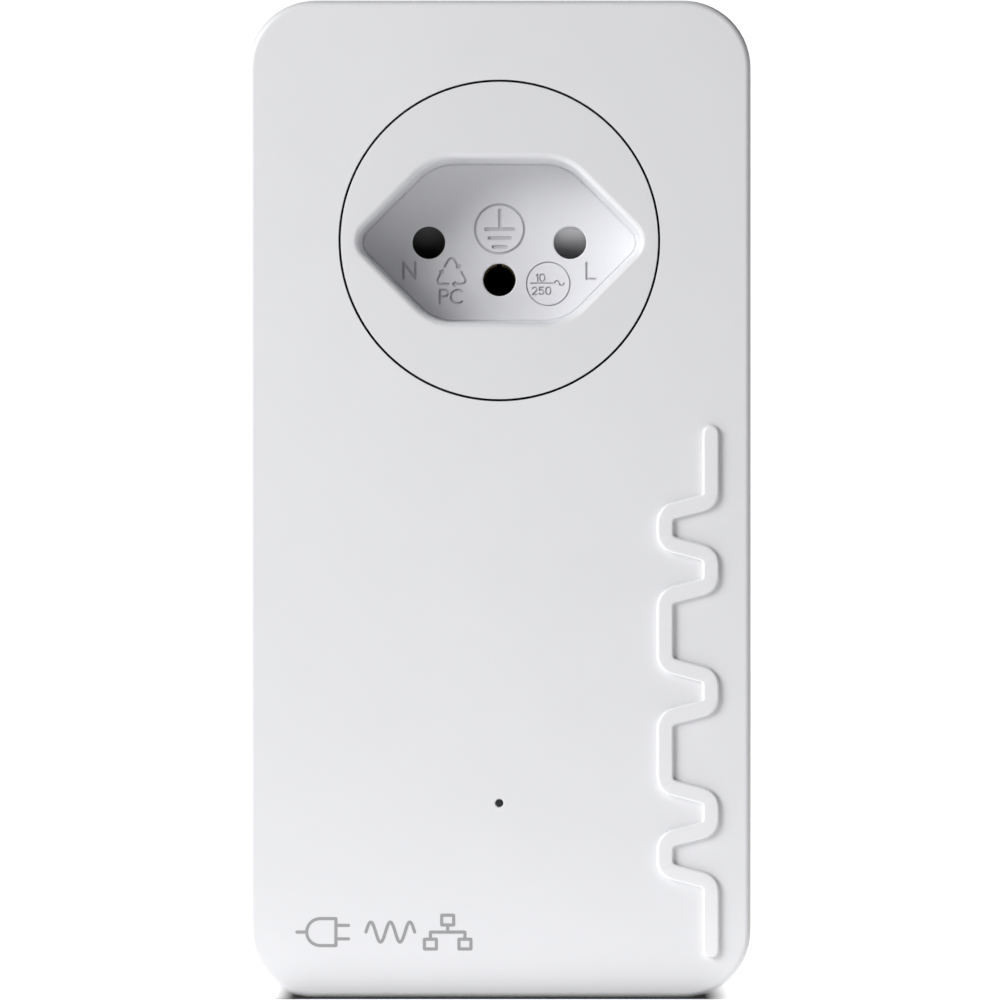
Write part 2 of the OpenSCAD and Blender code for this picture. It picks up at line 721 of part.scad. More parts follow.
// Flat-wire turns, each a closed frame round the core's section.
module filter_windings() {
    color("peru") for (side = [-1, 1], i = [0 : turns - 1])
        translate([side * choke_at[0], choke_at[1], choke_z]) rotate(i * 340 / turns + 10) difference() {
            block([choke_r[0] - 0.1 - turn_t, choke_r[1] + 0.1 + turn_t], [-turn_w / 2, turn_w / 2],
                [-0.1 - turn_t, choke_h + 0.1 + turn_t]);
            block([choke_r[0] - 0.1, choke_r[1] + 0.1], [-turn_w, turn_w], [-0.1, choke_h + 0.1]);
        }
}

module mains_choke_core() {
    color("dimgray") on_main(mains_choke_at) difference() {
        block([-7.5, 7.5], [-2, 2], [1.5, 14]);
        block([-4.5, 4.5], [-past - 2, 2 + past], [4.5, 11]);
    }
}
module mains_choke_windings() {
    color("peru") on_main(mains_choke_at) for (side = [-1, 1]) difference() {
        translate([side * 6, 0, 5]) cylinder(r = 3.6, h = 5.5);
        block(on_side(side, [4.4, 7.6]), [-2.1, 2.1], [4, 11.5]);
    }
}
module suppression_capacitor() {
    color("gold") on_main(suppression_at) block([-9, 9], [-4.2, 4.2], [0, 14.5]);
}
module disc_capacitor(at, r, t) {
    translate([at[0], at[1] + t / 2, main_face_z + r + 1]) rotate([90, 0, 0]) cylinder(r = r, h = t);
    for (side = [-1, 1]) post([at[0] + side * 2.5, at[1]], 0.3, main_face_z, main_face_z + 3);
}
module safety_capacitors() {
    color("steelblue") for (at = safety_at) disc_capacitor(at, 3.5, 3.2);
}
module varistor() {
    color("royalblue") disc_capacitor(varistor_at, 4.4, 3.8);
}
module bulk_capacitor() {
    color("midnightblue") on_main(bulk_at) translate([0, 0, bulk_r + 0.05]) rotate([90, 0, 0]) {
        cylinder(r = bulk_r, h = 18.5);
        translate([0, 0, 18.4]) cylinder(r = bulk_r - 0.65, h = 0.6);
        translate([0, 0, 18.9]) cylinder(r = bulk_r, h = 1.1);
    }
}
module output_capacitors() {
    color("midnightblue") for (at = output_at) {
        post(at, output_r, main_face_z, main_face_z + 1.5);
        post(at, output_r - 0.4, main_face_z + 1.4, main_face_z + 2);
        post(at, output_r, main_face_z + 1.9, main_face_z + 11.5);
    }
}
module fuse() {
    color("black") on_main(fuse_at) block([-4.2, 4.2], [-2.1, 2.1], [0, 8]);
}
// The bridge rectifier and the eight-legged power controller.
module supply_chips() {
    color("black") on_main(rectifier_at) block([-4.2, 4.2], [-3.2, 3.2], [0, 2.5]);
    color("black") on_main(controller_at) {
        block([-1.9, 1.9], [-2.5, 2.5], [0.1, 1.6]);
        for (side = [-1, 1], i = [0 : 3])
            translate([side * 2.3, -1.9 + i * 1.27, 0]) block([-0.5, 0.5], [-0.2, 0.2], [0, 0.7]);
    }
}
module optocoupler() {
    color("whitesmoke") on_main(optocoupler_at) {
        block([-3.2, 3.2], [-2.3, 2.3], [0.6, 4]);
        for (side = [-1, 1], y = [-1.27, 1.27])
            translate([side * 3.5, y, 0]) block([-0.4, 0.4], [-0.5, 0.5], [0, 2.6]);
    }
}
module power_transformer_core() {
    color("dimgray") on_main(transformer_at) difference() {
        block([-8, 8], [-4, 4], [0.8, 15]);
        for (side = [-1, 1]) translate([side * 4.2, 0, 0]) block([-2, 2], [-5, 5], [3.2, 12.6]);
    }
}
module power_transformer_winding() {
    color("gold") on_main(transformer_at) difference() {
        block([-6, 6], [-7.6, 7.6], [3.6, 12.2]);
        block([-2.3, 2.3], [-4.1, 4.1], [3, 13]);
    }
    color("black") on_main(transformer_at) for (side = [-1, 1])
        translate([0, side * 5.9, 0]) block([-6, 6], [-1.7, 1.7], [0, 3.59]);
}
module coupling_transformer() {
    color("black") on_main(coupling_at) {
        block([-5, 5], [-5, 5], [0, 1.8]);
        post([0, 0], 4.2, 1.7, 7.5);
        block([-5, 5], [-5, 5], [7.4, 8.4]);
    }
}

// ---- communication board
module comm_board() {
    color("darkgreen") board(comm_top, comm_z);
}
module board_header() {
    length = header_pins * header_pitch;
    color("black") for (z = [main_face_z, comm_z - header_body_h])
        block([header_x - 1.25, header_x + 1.25],
            [header_y - length / 2, header_y + length / 2], [z, z + header_body_h]);
    color("goldenrod") for (i = [0 : header_pins - 1])
        translate([header_x, header_y + (i - (header_pins - 1) / 2) * header_pitch, 0])
            block([-0.32, 0.32], [-0.32, 0.32], [main_face_z + header_body_h - eps, comm_z - header_body_h + eps]);
}

processor_at = [-12, -60];
processor_t = 1.2;
pad_t = 0.5;
sink_w = 21;
sink_base_t = 1.4;
sink_fin_pitch = 2.4;
magnetics_y = -71.5;
module on_comm_front(x, y) {
    translate([x, y, comm_face_z]) children();
}
module chip(w, h, t) {
    translate([-w / 2, -h / 2, 0]) cube([w, h, t]);
}
module line_processor() {
    color("black") on_comm_front(processor_at[0], processor_at[1]) {
        chip(14, 14, 0.6);
        chip(12.5, 12.5, processor_t);
    }
}
module thermal_pad() {
    color("lightblue") on_comm_front(processor_at[0], processor_at[1])
        translate([0, 0, processor_t]) chip(12, 12, pad_t);
}
module heat_sink() {
    color("silver") on_comm_front(processor_at[0], processor_at[1])
        translate([0, 0, processor_t + pad_t]) {
            chip(sink_w, sink_w, sink_base_t);
            for (i = [-4 : 4]) translate([i * sink_fin_pitch, 0, sink_base_t - eps]) chip(1, sink_w, 3.6);
        }
}
module comm_chips() {
    color("black") {
        on_comm_front(9, -58) chip(8, 10, 1);
        on_comm_front(19, -60) chip(5, 6, 1.4);
        on_comm_front(8, -86) chip(7, 7, 0.9);
        on_comm_front(-15, -88) chip(5, 5, 0.9);
    }
    color("silver") {
        on_comm_front(-18, -79) chip(3.2, 2.5, 0.8);
        on_comm_front(18, -76) chip(3.2, 2.5, 0.8);
    }
}
module chip_capacitors() {
    color("tan") {
        for (i = [0 : 5], row = [0 : 1]) on_comm_front(4.5 + i * 2, -66 - row * 2.2) chip(1, 0.5, 0.5);
        for (i = [0 : 4], row = [0 : 1]) on_comm_front(-20 + i * 2, -83 - row * 1.8) chip(1, 0.5, 0.5);
        for (i = [0 : 4]) on_comm_front(5 + i * 1.8, -80) chip(0.8, 1.6, 0.8);
    }
}
module ethernet_magnetics() {
    color("black") translate([0, magnetics_y, comm_z - 4.4]) {
        chip(12.7, 7.6, 4.2);
        for (i = [0 : 5], side = [-1, 1])
            translate([(i - 2.5) * 1.9, side * 4.2, 3.6]) chip(0.6, 0.9, 0.8);
    }
}

// ---- Ethernet port in the bottom edge
module ethernet_jack_shell() {
    color("silver") difference() {
        block([-jack_w / 2, jack_w / 2], [jack_mouth_y, jack_mouth_y + jack_l], [jack_z0, comm_z]);
        block([-jack_w / 2 + jack_skin, jack_w / 2 - jack_skin],
            [jack_mouth_y - past, jack_mouth_y + jack_l - jack_skin],
            [jack_z0 + jack_skin, comm_z - jack_skin]);
    }
}
module ethernet_jack_body() {
    color("black") difference() {
        block([-jack_w / 2 + jack_skin, jack_w / 2 - jack_skin],
            [jack_mouth_y + 0.2, jack_mouth_y + jack_l - jack_skin],
            [jack_z0 + jack_skin, comm_z - jack_skin]);
        block([-port_w / 2, port_w / 2], [jack_mouth_y - past, jack_mouth_y + port_l],
            [port_z0, port_z0 + port_h]);
        block([-latch_w / 2, latch_w / 2], [jack_mouth_y - past, jack_mouth_y + port_l - 4],
            [port_z0 + port_h - eps, port_z0 + port_h + latch_h]);
    }
}
// Eight sprung wires that slope up from the port's lower wall.
module ethernet_contacts() {
    color("gold") for (i = [0 : contact_wires - 1])
        translate([(i - (contact_wires - 1) / 2) * contact_wire_pitch, jack_mouth_y + 2.5, port_z0 + 0.15])
            rotate([9.5, 0, 0]) block([-0.2, 0.2], [0, 9.6], [0, 0.35]);
}

// ---- status light, buttons and their switches
module status_light() {
    color("white") on_comm_front(0, light_y) {
        chip(3.2, 2.6, 0.8);
        translate([0, 0, 0.79]) cylinder(r = 0.9, h = 0.4);
    }
}
module light_guide() {
    color("lightcyan") {
        post([0, light_y], 1.4, comm_face_z + 1.4, body_d - wall - 0.05);
        post([0, light_y], light_hole_r - 0.05, body_d - wall - 0.1, body_d - 1.2);
    }
}
module pairing_button() {
    color("white") {
        facing_right(button_skirt_x - 1) linear_extrude(side_x + button_proud - button_skirt_x + 1)
            polygon(rounded_rect(button_w, button_l, button_w / 2));
        facing_right(button_skirt_back_x) linear_extrude(button_skirt_x - button_skirt_back_x)
            polygon(rounded_rect(button_w + 2, button_l + 2, button_w / 2 + 1));
        facing_right(button_stem_x) cylinder(r = 1.3, h = button_skirt_back_x + eps - button_stem_x);
    }
    color("black") facing_right(switch_face_x - 0.7)
        cylinder(r = switch_stem_r, h = button_stem_x + eps - switch_face_x + 0.7);
}
module reset_guide() {
    color("white") difference() {
        union() {
            facing_down(bottom_y + wall) cylinder(r = reset_guide_r, h = wall);
            facing_down(bottom_y + wall + reset_flange_t) cylinder(r = reset_flange_r, h = reset_flange_t);
        }
        facing_down(bottom_y + wall + past) cylinder(d = reset_hole_dia, h = wall + 2 * past);
    }
}
module reset_button() {
    color("black") facing_down(reset_face_y + reset_stem_in) cylinder(r = reset_stem_r, h = reset_stem_l);
}
module button_switches() {
    color("dimgray") {
        difference() {
            block([22.5, switch_face_x], [button_y - 3, button_y + 3], [button_z - 2.6, comm_z]);
            facing_right(25.2) cylinder(r = switch_bore_r, h = 2);
        }
        difference() {
            block([reset_at[0] - 3, reset_at[0] + 3], [reset_face_y, reset_face_y + 3.5],
                [reset_at[1] - 1.8, comm_z]);
            facing_down(reset_face_y + reset_stem_in + reset_travel + 0.05)
                cylinder(r = reset_stem_r + 0.15, h = 2);
        }
    }
}

// ---- one node for each piece
stand() front_cover();
stand() rear_housing();
stand() port_panel();
stand() housing_screws();
stand() rating_label();
stand() socket_insert();
stand() shutter_slider();
stand() shutter_spring();
stand() contact_carrier();
stand() inner_screws();
stand() live_contact(1);  // line_contact
stand() live_contact(-1);  // neutral_contact
stand() earth_contact();
stand() contact_clamp_rings();
stand() plug_insert();
stand() live_pin(1);  // line_pin
stand() live_pin(-1);  // neutral_pin
stand() earth_pin();
stand() pin_sleeve(line_at);  // line_pin_sleeve
stand() pin_sleeve(neutral_at);  // neutral_pin_sleeve
stand() color("saddlebrown") in_wire(1);  // line_in_wire
stand() color("royalblue") in_wire(-1);  // neutral_in_wire
stand() color("saddlebrown") out_wire(1);  // line_out_wire
stand() color("royalblue") out_wire(-1);  // neutral_out_wire
stand() color("yellowgreen") earth_lead();  // earth_wire
stand() main_board();
stand() comm_board();
stand() insulation_sheet();
stand() board_spacers();
stand() filter_cores();
stand() filter_windings();
stand() mains_choke_core();
stand() mains_choke_windings();
stand() suppression_capacitor();
stand() safety_capacitors();
stand() bulk_capacitor();
stand() output_capacitors();
stand() fuse();
stand() varistor();
stand() supply_chips();
stand() optocoupler();
stand() power_transformer_core();
stand() power_transformer_winding();
stand() coupling_transformer();
stand() board_header();
stand() line_processor();
stand() thermal_pad();
stand() heat_sink();
stand() comm_chips();
stand() chip_capacitors();
stand() ethernet_magnetics();
stand() ethernet_jack_shell();
stand() ethernet_jack_body();
stand() ethernet_contacts();
stand() status_light();
stand() light_guide();
stand() pairing_button();
stand() reset_guide();
stand() reset_button();
stand() button_switches();
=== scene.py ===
# %% [markdown]
# # A powerline adapter with a pass-through socket
#
# The adapter hangs on a wall socket by the three pins behind it and offers the same socket again in its
# front. Everything is built on a fixed frame, the mechanical model, whose pieces already have their sizes
# and places. The scene adds what a mould, a press and a printer give the real thing: rounded edges, grain,
# gloss and marks.

# %% Load the frame
import math

import bmesh
import bpy
from mathutils import Matrix, Vector
from mathutils.geometry import delaunay_2d_cdt


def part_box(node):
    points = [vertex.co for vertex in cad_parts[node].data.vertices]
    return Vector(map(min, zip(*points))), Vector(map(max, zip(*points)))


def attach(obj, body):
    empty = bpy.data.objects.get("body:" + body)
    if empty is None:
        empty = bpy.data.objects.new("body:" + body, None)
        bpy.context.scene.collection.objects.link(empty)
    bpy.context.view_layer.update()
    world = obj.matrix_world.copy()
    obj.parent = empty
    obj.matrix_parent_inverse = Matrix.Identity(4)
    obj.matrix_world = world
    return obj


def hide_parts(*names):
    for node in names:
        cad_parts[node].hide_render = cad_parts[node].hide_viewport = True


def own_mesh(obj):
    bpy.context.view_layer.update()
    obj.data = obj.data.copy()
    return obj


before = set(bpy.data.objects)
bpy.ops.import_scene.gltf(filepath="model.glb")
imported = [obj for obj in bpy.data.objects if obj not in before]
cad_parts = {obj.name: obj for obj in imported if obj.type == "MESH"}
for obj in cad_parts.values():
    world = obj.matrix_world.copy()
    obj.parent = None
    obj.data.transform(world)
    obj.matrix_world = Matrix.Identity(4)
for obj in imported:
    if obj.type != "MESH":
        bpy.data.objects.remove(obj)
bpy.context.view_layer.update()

# %% [markdown]
# ## Sizes
#
# Outlines are easiest to think of as seen from the front: so far right, so far up, so far out of the wall.
# The frame looks the other way, with +Y into the wall, so one function turns a point round. The driving
# sizes are read off the frame's pieces, and only what they don't tell, such as the radius of an edge, is a
# number of its own.

# %% Sizes, in millimetres
MM = 0.001


def place(point):
    right, up, out = point
    return Vector((right, -out, up)) * MM


def span(node):
    low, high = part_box(node)
    return Vector((low.x, low.z, -high.y)) / MM, Vector((high.x, high.z, -low.y)) / MM


case_low, case_high = span("rear_housing")
cover_low, cover_high = span("front_cover")
insert_low, insert_high = span("socket_insert")
plug_low, plug_high = span("plug_insert")
sleeve_low, sleeve_high = span("line_pin_sleeve")
button_low, button_high = span("pairing_button")

width, height = case_high.x - case_low.x, case_high.y - case_low.y
middle = (case_high.y + case_low.y) / 2
face = insert_high.z
seam = 0.3
cover_back = face - 8
lip_back = cover_low.z
wall = 2
corner = 9
insert_r = 21.2
flange_r = insert_high.x
floor = face - 10
hole_r = 2.2
live_x, earth_up = 9.5, -5
holes_at = [(live_x, 0), (-live_x, 0), (0, earth_up)]
light_up = case_low.y + 26
screw_at = [(sx * (width / 2 - 7.5), up) for sx in (-1, 1) for up in (case_high.y - 7.5, case_low.y + 7.5)]
print(f"body {width:.1f} x {height:.1f} mm, face {face:.1f} mm from the wall")

# %% [markdown]
# ## The camera
#
# The adapter is seen square on from a little over a metre away, through a long lens, as a catalogue shows
# it. It stands upright on its bottom end, so the camera looks level at a point just below the middle of the
# front.

# %% Camera
view_width, view_distance, aim_up = 133.3, 1150, -34.6
camera = bpy.data.objects.new("camera", bpy.data.cameras.new("camera"))
bpy.context.scene.collection.objects.link(camera)
bpy.context.scene.camera = camera
camera.data.sensor_width = 36
camera.data.lens = 36 * view_distance / view_width
camera.data.clip_start, camera.data.clip_end = 0.01, 20
camera.location = place((0.08, aim_up, face + view_distance))
camera.rotation_euler = (math.pi / 2, 0, 0)
print(f"camera {view_distance} mm in front of the face, {camera.data.lens:.0f} mm lens")

# %% [markdown]
# ## A small language for shader maths
#
# A finish such as moulded plastic is a few noises and masks added together. Written as nodes that is a long
# list, so one class wraps a socket and lets Python's own operators add the Math nodes, and one method makes
# any other node.

# %% Shader maths


class Wire:
    def __init__(self, finish, socket):
        self.finish, self.socket = finish, socket

    def maths(self, operation, *values):
        return Wire(self.finish, self.finish.node("Math", {"operation": operation}, *values).outputs[0])

    def __add__(self, other):
        return self.maths("ADD", self, other)

    def __sub__(self, other):
        return self.maths("SUBTRACT", self, other)

    def __mul__(self, other):
        return self.maths("MULTIPLY", self, other)

    def __truediv__(self, other):
        return self.maths("DIVIDE", self, other)

    def __rsub__(self, other):
        return self.maths("SUBTRACT", other, self)

    def __lt__(self, other):
        return self.maths("LESS_THAN", self, other)

    def __gt__(self, other):
        return self.maths("GREATER_THAN", self, other)

    def __abs__(self):
        return self.maths("ABSOLUTE", self)

    __radd__, __rmul__ = __add__, __mul__

    def sine(self):
        return self.maths("SINE", self)

    def repeat(self, period):
        return self.maths("PINGPONG", self, period)

    def either(self, other):
        return self.maths("MAXIMUM", self, other)

    def ramp(self, low, high):
        stops = self.finish.node("MapRange", {"clamp": True}, self, low, high, 0.0, 1.0)
        return Wire(self.finish, stops.outputs[0])


class Finish:
    def __init__(self, name, colour, **constants):
        self.material = bpy.data.materials.new(name)
        self.material.use_nodes = True
        self.nodes, self.links = self.material.node_tree.nodes, self.material.node_tree.links
        self.surface = self.nodes["Principled BSDF"]
        self.set("Base Color", colour)
        for socket, value in constants.items():
            self.set(socket.replace("_", " "), value)
        self.material.diffuse_color = (*colour[:3], 1)

    def put(self, socket, value):
        if isinstance(value, Wire):
            self.links.new(value.socket, socket)
        elif isinstance(value, tuple) and len(value) == 3 and socket.type == "RGBA":
            socket.default_value = (*value, 1)
        else:
            socket.default_value = value

    def set(self, name, value):
        self.put(self.surface.inputs[name], value)
        return self

    def node(self, kind, settings, *inputs, **named):
        node = self.nodes.new("ShaderNode" + kind)
        for key, value in settings.items():
            setattr(node, key, value)
        for socket, value in zip(node.inputs, inputs):
            self.put(socket, value)
        for key, value in named.items():
            self.put(node.inputs[key.replace("_", " ")], value)
        return node

    def at(self):
        return Wire(self, self.node("TexCoord", {}).outputs["Object"])

    def sides(self):
        """Right, up and out in millimetres, as three wires."""
        parts = self.node("SeparateXYZ", {}, self.at()).outputs
        return Wire(self, parts[0]) * 1000, Wire(self, parts[2]) * 1000, Wire(self, parts[1]) * -1000

    def noise(self, size_mm, detail=2.0, stretch=(1, 1, 1)):
        where = self.node("Mapping", {}, self.at(), Scale=stretch).outputs[0]
        made = self.node("TexNoise", {}, Vector=Wire(self, where), Scale=1000 / size_mm, Detail=detail)
        return Wire(self, made.outputs[0])

    def cells(self, size_mm, feature="F1"):
        made = self.node("TexVoronoi", {"feature": feature}, Vector=self.at(), Scale=1000 / size_mm)
        return Wire(self, made.outputs["Distance"])

    def blend(self, factor, first, second):
        mix = self.node("Mix", {"data_type": "RGBA"})
        self.put(mix.inputs["Factor"], factor)
        self.put(mix.inputs[6], first)
        self.put(mix.inputs[7], second)
        return Wire(self, mix.outputs[2])

    def bump(self, height, depth_mm, strength=1.0):
        made = self.node("Bump", {}, Strength=strength, Distance=depth_mm * MM, Height=height)
        return self.set("Normal", Wire(self, made.outputs[0]))


print("shader helpers ready")

# %% [markdown]
# ## Moulded plastics
#
# The casing is a satin white moulding. Its mould is spark-eroded, which leaves a fine, even grain that
# spreads the highlights, while the raised trace on the front was polished in the mould and shines. The
# three visible whites differ a little, because they are three mouldings: cover and housing, socket, and
# trace. The trace is also painted a little whiter, a painted sheen for its polished top. Other colours
# here are painted light and shade too: the shutter's two sides, the darker sunk marks and the near-black
# gap plastic.

# %% Plastics


def moulded(name, colour, roughness, grain_mm=0.22, grain_depth=0.004, uneven=0.012, **constants):
    finish = Finish(name, colour, **constants)
    cloud = finish.noise(9.0, 3.0)
    shade = tuple(c * (1 - uneven * 2) for c in colour)
    finish.set("Base Color", finish.blend(cloud, shade, colour))
    finish.set("Roughness", roughness + (cloud - 0.5) * 0.08)
    finish.bump(finish.noise(grain_mm, 3.0), grain_depth)
    return finish.material


def shutter_plastic():
    """Pale on the line side and dark on the neutral side: painted light in one hole and painted shade in the
    other.
    """
    finish = Finish("shutter_plastic_painted_light_and_shade", (0.6, 0.6, 0.6))
    right, _, _ = finish.sides()
    # Painted light and shade: the line side is painted pale as if lit, the neutral side painted dark as if in
    # shade.
    finish.set("Base Color", finish.blend(right < -5.5, (0.95, 0.95, 0.95), (0.11, 0.11, 0.11)))
    finish.set("Roughness", 0.4 + finish.noise(2.0) * 0.15)
    finish.bump(finish.noise(0.3, 3.0), 0.004)
    return finish.material


shutter_painted_light_and_shade = shutter_plastic()
satin_white = moulded("satin_white_plastic", (0.855, 0.857, 0.88), 0.42)
socket_white = moulded("socket_white_plastic", (0.835, 0.837, 0.86), 0.38, 0.18, 0.002)
# Painted shade: the sunk marks are rougher and also painted darker, for the shade that falls in their
# grooves.
sunk_mark_painted_shade = moulded("sunk_mark_plastic_painted_shade", (0.7, 0.7, 0.72), 0.7, 0.12, 0.01)
# Painted shade: near black, for the deep shade in the gap round the socket disc.
gap_shade = moulded("gap_painted_shade", (0.03, 0.03, 0.03), 0.8)
# Painted sheen: the polished trace is a little whiter than the face, for the shine on its top.
gloss_white_painted_sheen = moulded("polished_plastic_painted_sheen", (0.92, 0.92, 0.935), 0.18, 2.0, 0.001, Coat_Weight=0.4,
                      Coat_Roughness=0.06)
rear_white = moulded("grained_white_plastic", (0.85, 0.85, 0.86), 0.5, 0.3, 0.008)
button_white = moulded("button_white_plastic", (0.87, 0.87, 0.88), 0.3, 0.2, 0.002)
carrier_plastic = moulded("grey_carrier_plastic", (0.07, 0.07, 0.075), 0.55, 0.4, 0.01)
black_plastic = moulded("black_plastic", (0.012, 0.012, 0.013), 0.4, 0.25, 0.004)
sleeve_plastic = moulded("black_sleeve_plastic", (0.01, 0.01, 0.011), 0.28, 0.5, 0.002)
switch_plastic = moulded("switch_plastic", (0.09, 0.09, 0.1), 0.45)
opto_plastic = moulded("white_chip_plastic", (0.7, 0.7, 0.68), 0.5)
fibre_sheet = moulded("pale_fibre_sheet", (0.62, 0.56, 0.38), 0.7, 0.5, 0.01, uneven=0.06)
pad_rubber = moulded("soft_thermal_pad", (0.25, 0.36, 0.42), 0.85, 0.6, 0.02, uneven=0.05)
print("plastics:", len(bpy.data.materials))

# %% [markdown]
# ## Metals
#
# The pins are brass with a nickel plating, drawn lengthways, so their fine scratches run along them. Screws
# are zinc-plated and a little cloudy, the contacts are bare rolled brass, and the jack's shield is tinned
# sheet.

# %% Metals


def metal(name, colour, roughness, scratch_mm=0.06, along=(1, 1, 1), depth=0.0015, stain=0.1, **constants):
    finish = Finish(name, colour, Metallic=1.0, **constants)
    scratches = finish.noise(scratch_mm, 4.0, along)
    cloud = finish.noise(2.5, 3.0)
    dull = tuple(c * (1 - stain) for c in colour)
    finish.set("Base Color", finish.blend(cloud, dull, colour))
    finish.set("Roughness", roughness + cloud * 0.1 + (scratches - 0.5) * 0.1)
    finish.bump(scratches, depth)
    return finish.material


def contact_brass():
    """Bright rolled brass, painted black at the foot of each tube as painted shade deep inside the contact.
    """
    finish = Finish("rolled_brass", (0.76, 0.56, 0.24), Metallic=1.0)
    _, _, out = finish.sides()
    # Painted shade: from 12.2 mm out to a ragged edge a few millimetres further, the brass is painted near
    # black.
    outside_painted_shade = (out + finish.noise(1.5)).ramp(14.0, 17.0).either((out < 12.2) * 1.0)
    finish.set("Base Color", finish.blend(outside_painted_shade, (0.004, 0.003, 0.003), (0.76, 0.56, 0.24)))
    finish.set("Roughness", 0.62 - outside_painted_shade * 0.36 + finish.noise(0.1, 4.0, (1, 1, 0.05)) * 0.1)
    finish.bump(finish.noise(0.1, 4.0, (1, 1, 0.05)), 0.0015)
    return finish.material


nickel = metal("nickel_plating", (0.74, 0.72, 0.68), 0.16, 0.08, (1, 0.04, 1))
zinc = metal("zinc_plated_steel", (0.62, 0.64, 0.67), 0.28, 0.12)
spring_wire = metal("bright_spring_wire", (0.6, 0.6, 0.61), 0.22, 0.1)
brass = contact_brass()
tin = metal("tinned_sheet", (0.7, 0.7, 0.71), 0.26, 0.15, (0.1, 1, 1))
gold = metal("gold_plating", (0.9, 0.66, 0.26), 0.15, 0.05, (1, 1, 0.1), stain=0.04)
aluminium = metal("extruded_aluminium", (0.66, 0.67, 0.69), 0.36, 0.1, (1, 1, 0.04), 0.003)
copper = metal("enamelled_copper", (0.62, 0.24, 0.1), 0.22, 0.4, stain=0.2, Coat_Weight=0.6,
               Coat_Roughness=0.1)
print("metals:", len(bpy.data.materials))

# %% [markdown]
# ## Printed film, boards and components
#
# The inner pieces are glimpsed through the ventilation slots. Each has the mark of how it is made: solder
# mask over etched tracks, specks in pressed ferrite, a stripe down the sleeve of a capacitor, stripes round
# the earth lead.

# %% Film, boards and components


def label_film(low, high):
    finish = Finish("silver_label_film", (0.62, 0.63, 0.65), Metallic=0.35)
    right, up, _ = finish.sides()
    from_side = (high.x - low.x) / 2 - abs(right - (high.x + low.x) / 2)
    from_end = (high.y - low.y) / 2 - abs(up - (high.y + low.y) / 2)
    edge = from_side.maths("MINIMUM", from_side, from_end)
    border = (edge > 1.0) * (edge < 1.25)
    rule = (abs(up - (low.y + 8)) < 0.12) * (edge > 1.1)
    ink = border.either(rule)
    finish.set("Base Color", finish.blend(ink, (0.62, 0.63, 0.65), (0.12, 0.12, 0.13)))
    finish.set("Roughness", 0.34 + ink * 0.2 + finish.noise(0.5) * 0.06)
    finish.bump(finish.noise(0.6) + ink * 0.5, 0.003)
    return finish.material


def circuit_board():
    finish = Finish("green_solder_mask", (0.02, 0.13, 0.06), Coat_Weight=0.5, Coat_Roughness=0.12)
    right, up, _ = finish.sides()
    lane = finish.noise(5.0, 0.0) * 9
    tracks = ((right + lane.sine() * 1.4).repeat(0.9) < 0.28) * (finish.noise(7.0, 0.0) > 0.48)
    cross = ((up + lane.sine() * 1.4).repeat(0.9) < 0.24) * (finish.noise(7.0, 0.0) < 0.44)
    copper_under = tracks.either(cross)
    pads = (finish.cells(2.2) < 0.14) * (finish.noise(6.0, 0.0) > 0.5)
    mask = finish.blend(copper_under, (0.012, 0.11, 0.045), (0.03, 0.2, 0.09))
    finish.set("Base Color", finish.blend(pads, mask, (0.7, 0.62, 0.4)))
    finish.set("Metallic", pads * 0.9)
    finish.set("Roughness", 0.3 + finish.noise(0.8) * 0.12)
    finish.bump(copper_under + pads + finish.noise(0.4) * 0.3, 0.03)
    return finish.material


def speckled(name, colour, speck, roughness, size_mm=0.5):
    finish = Finish(name, colour)
    specks = finish.cells(size_mm).ramp(0.0, 0.5)
    finish.set("Base Color", finish.blend(specks, speck, colour))
    finish.set("Roughness", roughness + specks * 0.12)
    finish.bump(finish.noise(size_mm / 2, 4.0), 0.03)
    return finish.material


def sleeved_can():
    """A dark sleeve with a pale stripe."""
    finish = Finish("capacitor_sleeve", (0.012, 0.016, 0.05), Coat_Weight=0.3, Coat_Roughness=0.1)
    right, _, out = finish.sides()
    stripe = (right.repeat(7.0) < 0.9) * (out.repeat(2.0) > 0.35)
    finish.set("Base Color", finish.blend(stripe, (0.012, 0.016, 0.05), (0.55, 0.57, 0.6)))
    finish.set("Roughness", 0.24 + finish.noise(1.5) * 0.12)
    finish.bump(finish.noise(1.0), 0.01)
    return finish.material


def insulated(name, colour, stripe=None):
    finish = Finish(name, colour)
    right, up, _ = finish.sides()
    if stripe:
        turn = ((up * 0.9 + right * 1.6).sine()) > 0.25
        finish.set("Base Color", finish.blend(turn, colour, stripe))
    else:
        finish.set("Base Color", finish.blend(finish.noise(3.0), colour, tuple(c * 0.8 for c in colour)))
    finish.set("Roughness", 0.36 + finish.noise(0.7) * 0.12)
    finish.bump(finish.noise(0.5), 0.01)
    return finish.material


def wound(name, colour, period_mm):
    """Tape or wire laid in close turns along the height of a piece."""
    finish = Finish(name, colour, Coat_Weight=0.4, Coat_Roughness=0.15)
    _, _, out = finish.sides()
    turns = out.repeat(period_mm) / period_mm
    finish.set("Base Color", finish.blend(turns.ramp(0.0, 0.3), tuple(c * 0.45 for c in colour), colour))
    finish.set("Roughness", 0.3 + finish.noise(0.6) * 0.15)
    finish.bump(turns.ramp(0.0, 0.5), 0.05)
    return finish.material


def clear_plastic():
    finish = Finish("clear_light_guide", (0.93, 0.95, 0.96), Transmission_Weight=0.9, IOR=1.49)
    finish.set("Roughness", 0.12 + finish.noise(1.0) * 0.08)
    finish.bump(finish.noise(0.8), 0.002)
    return finish.material


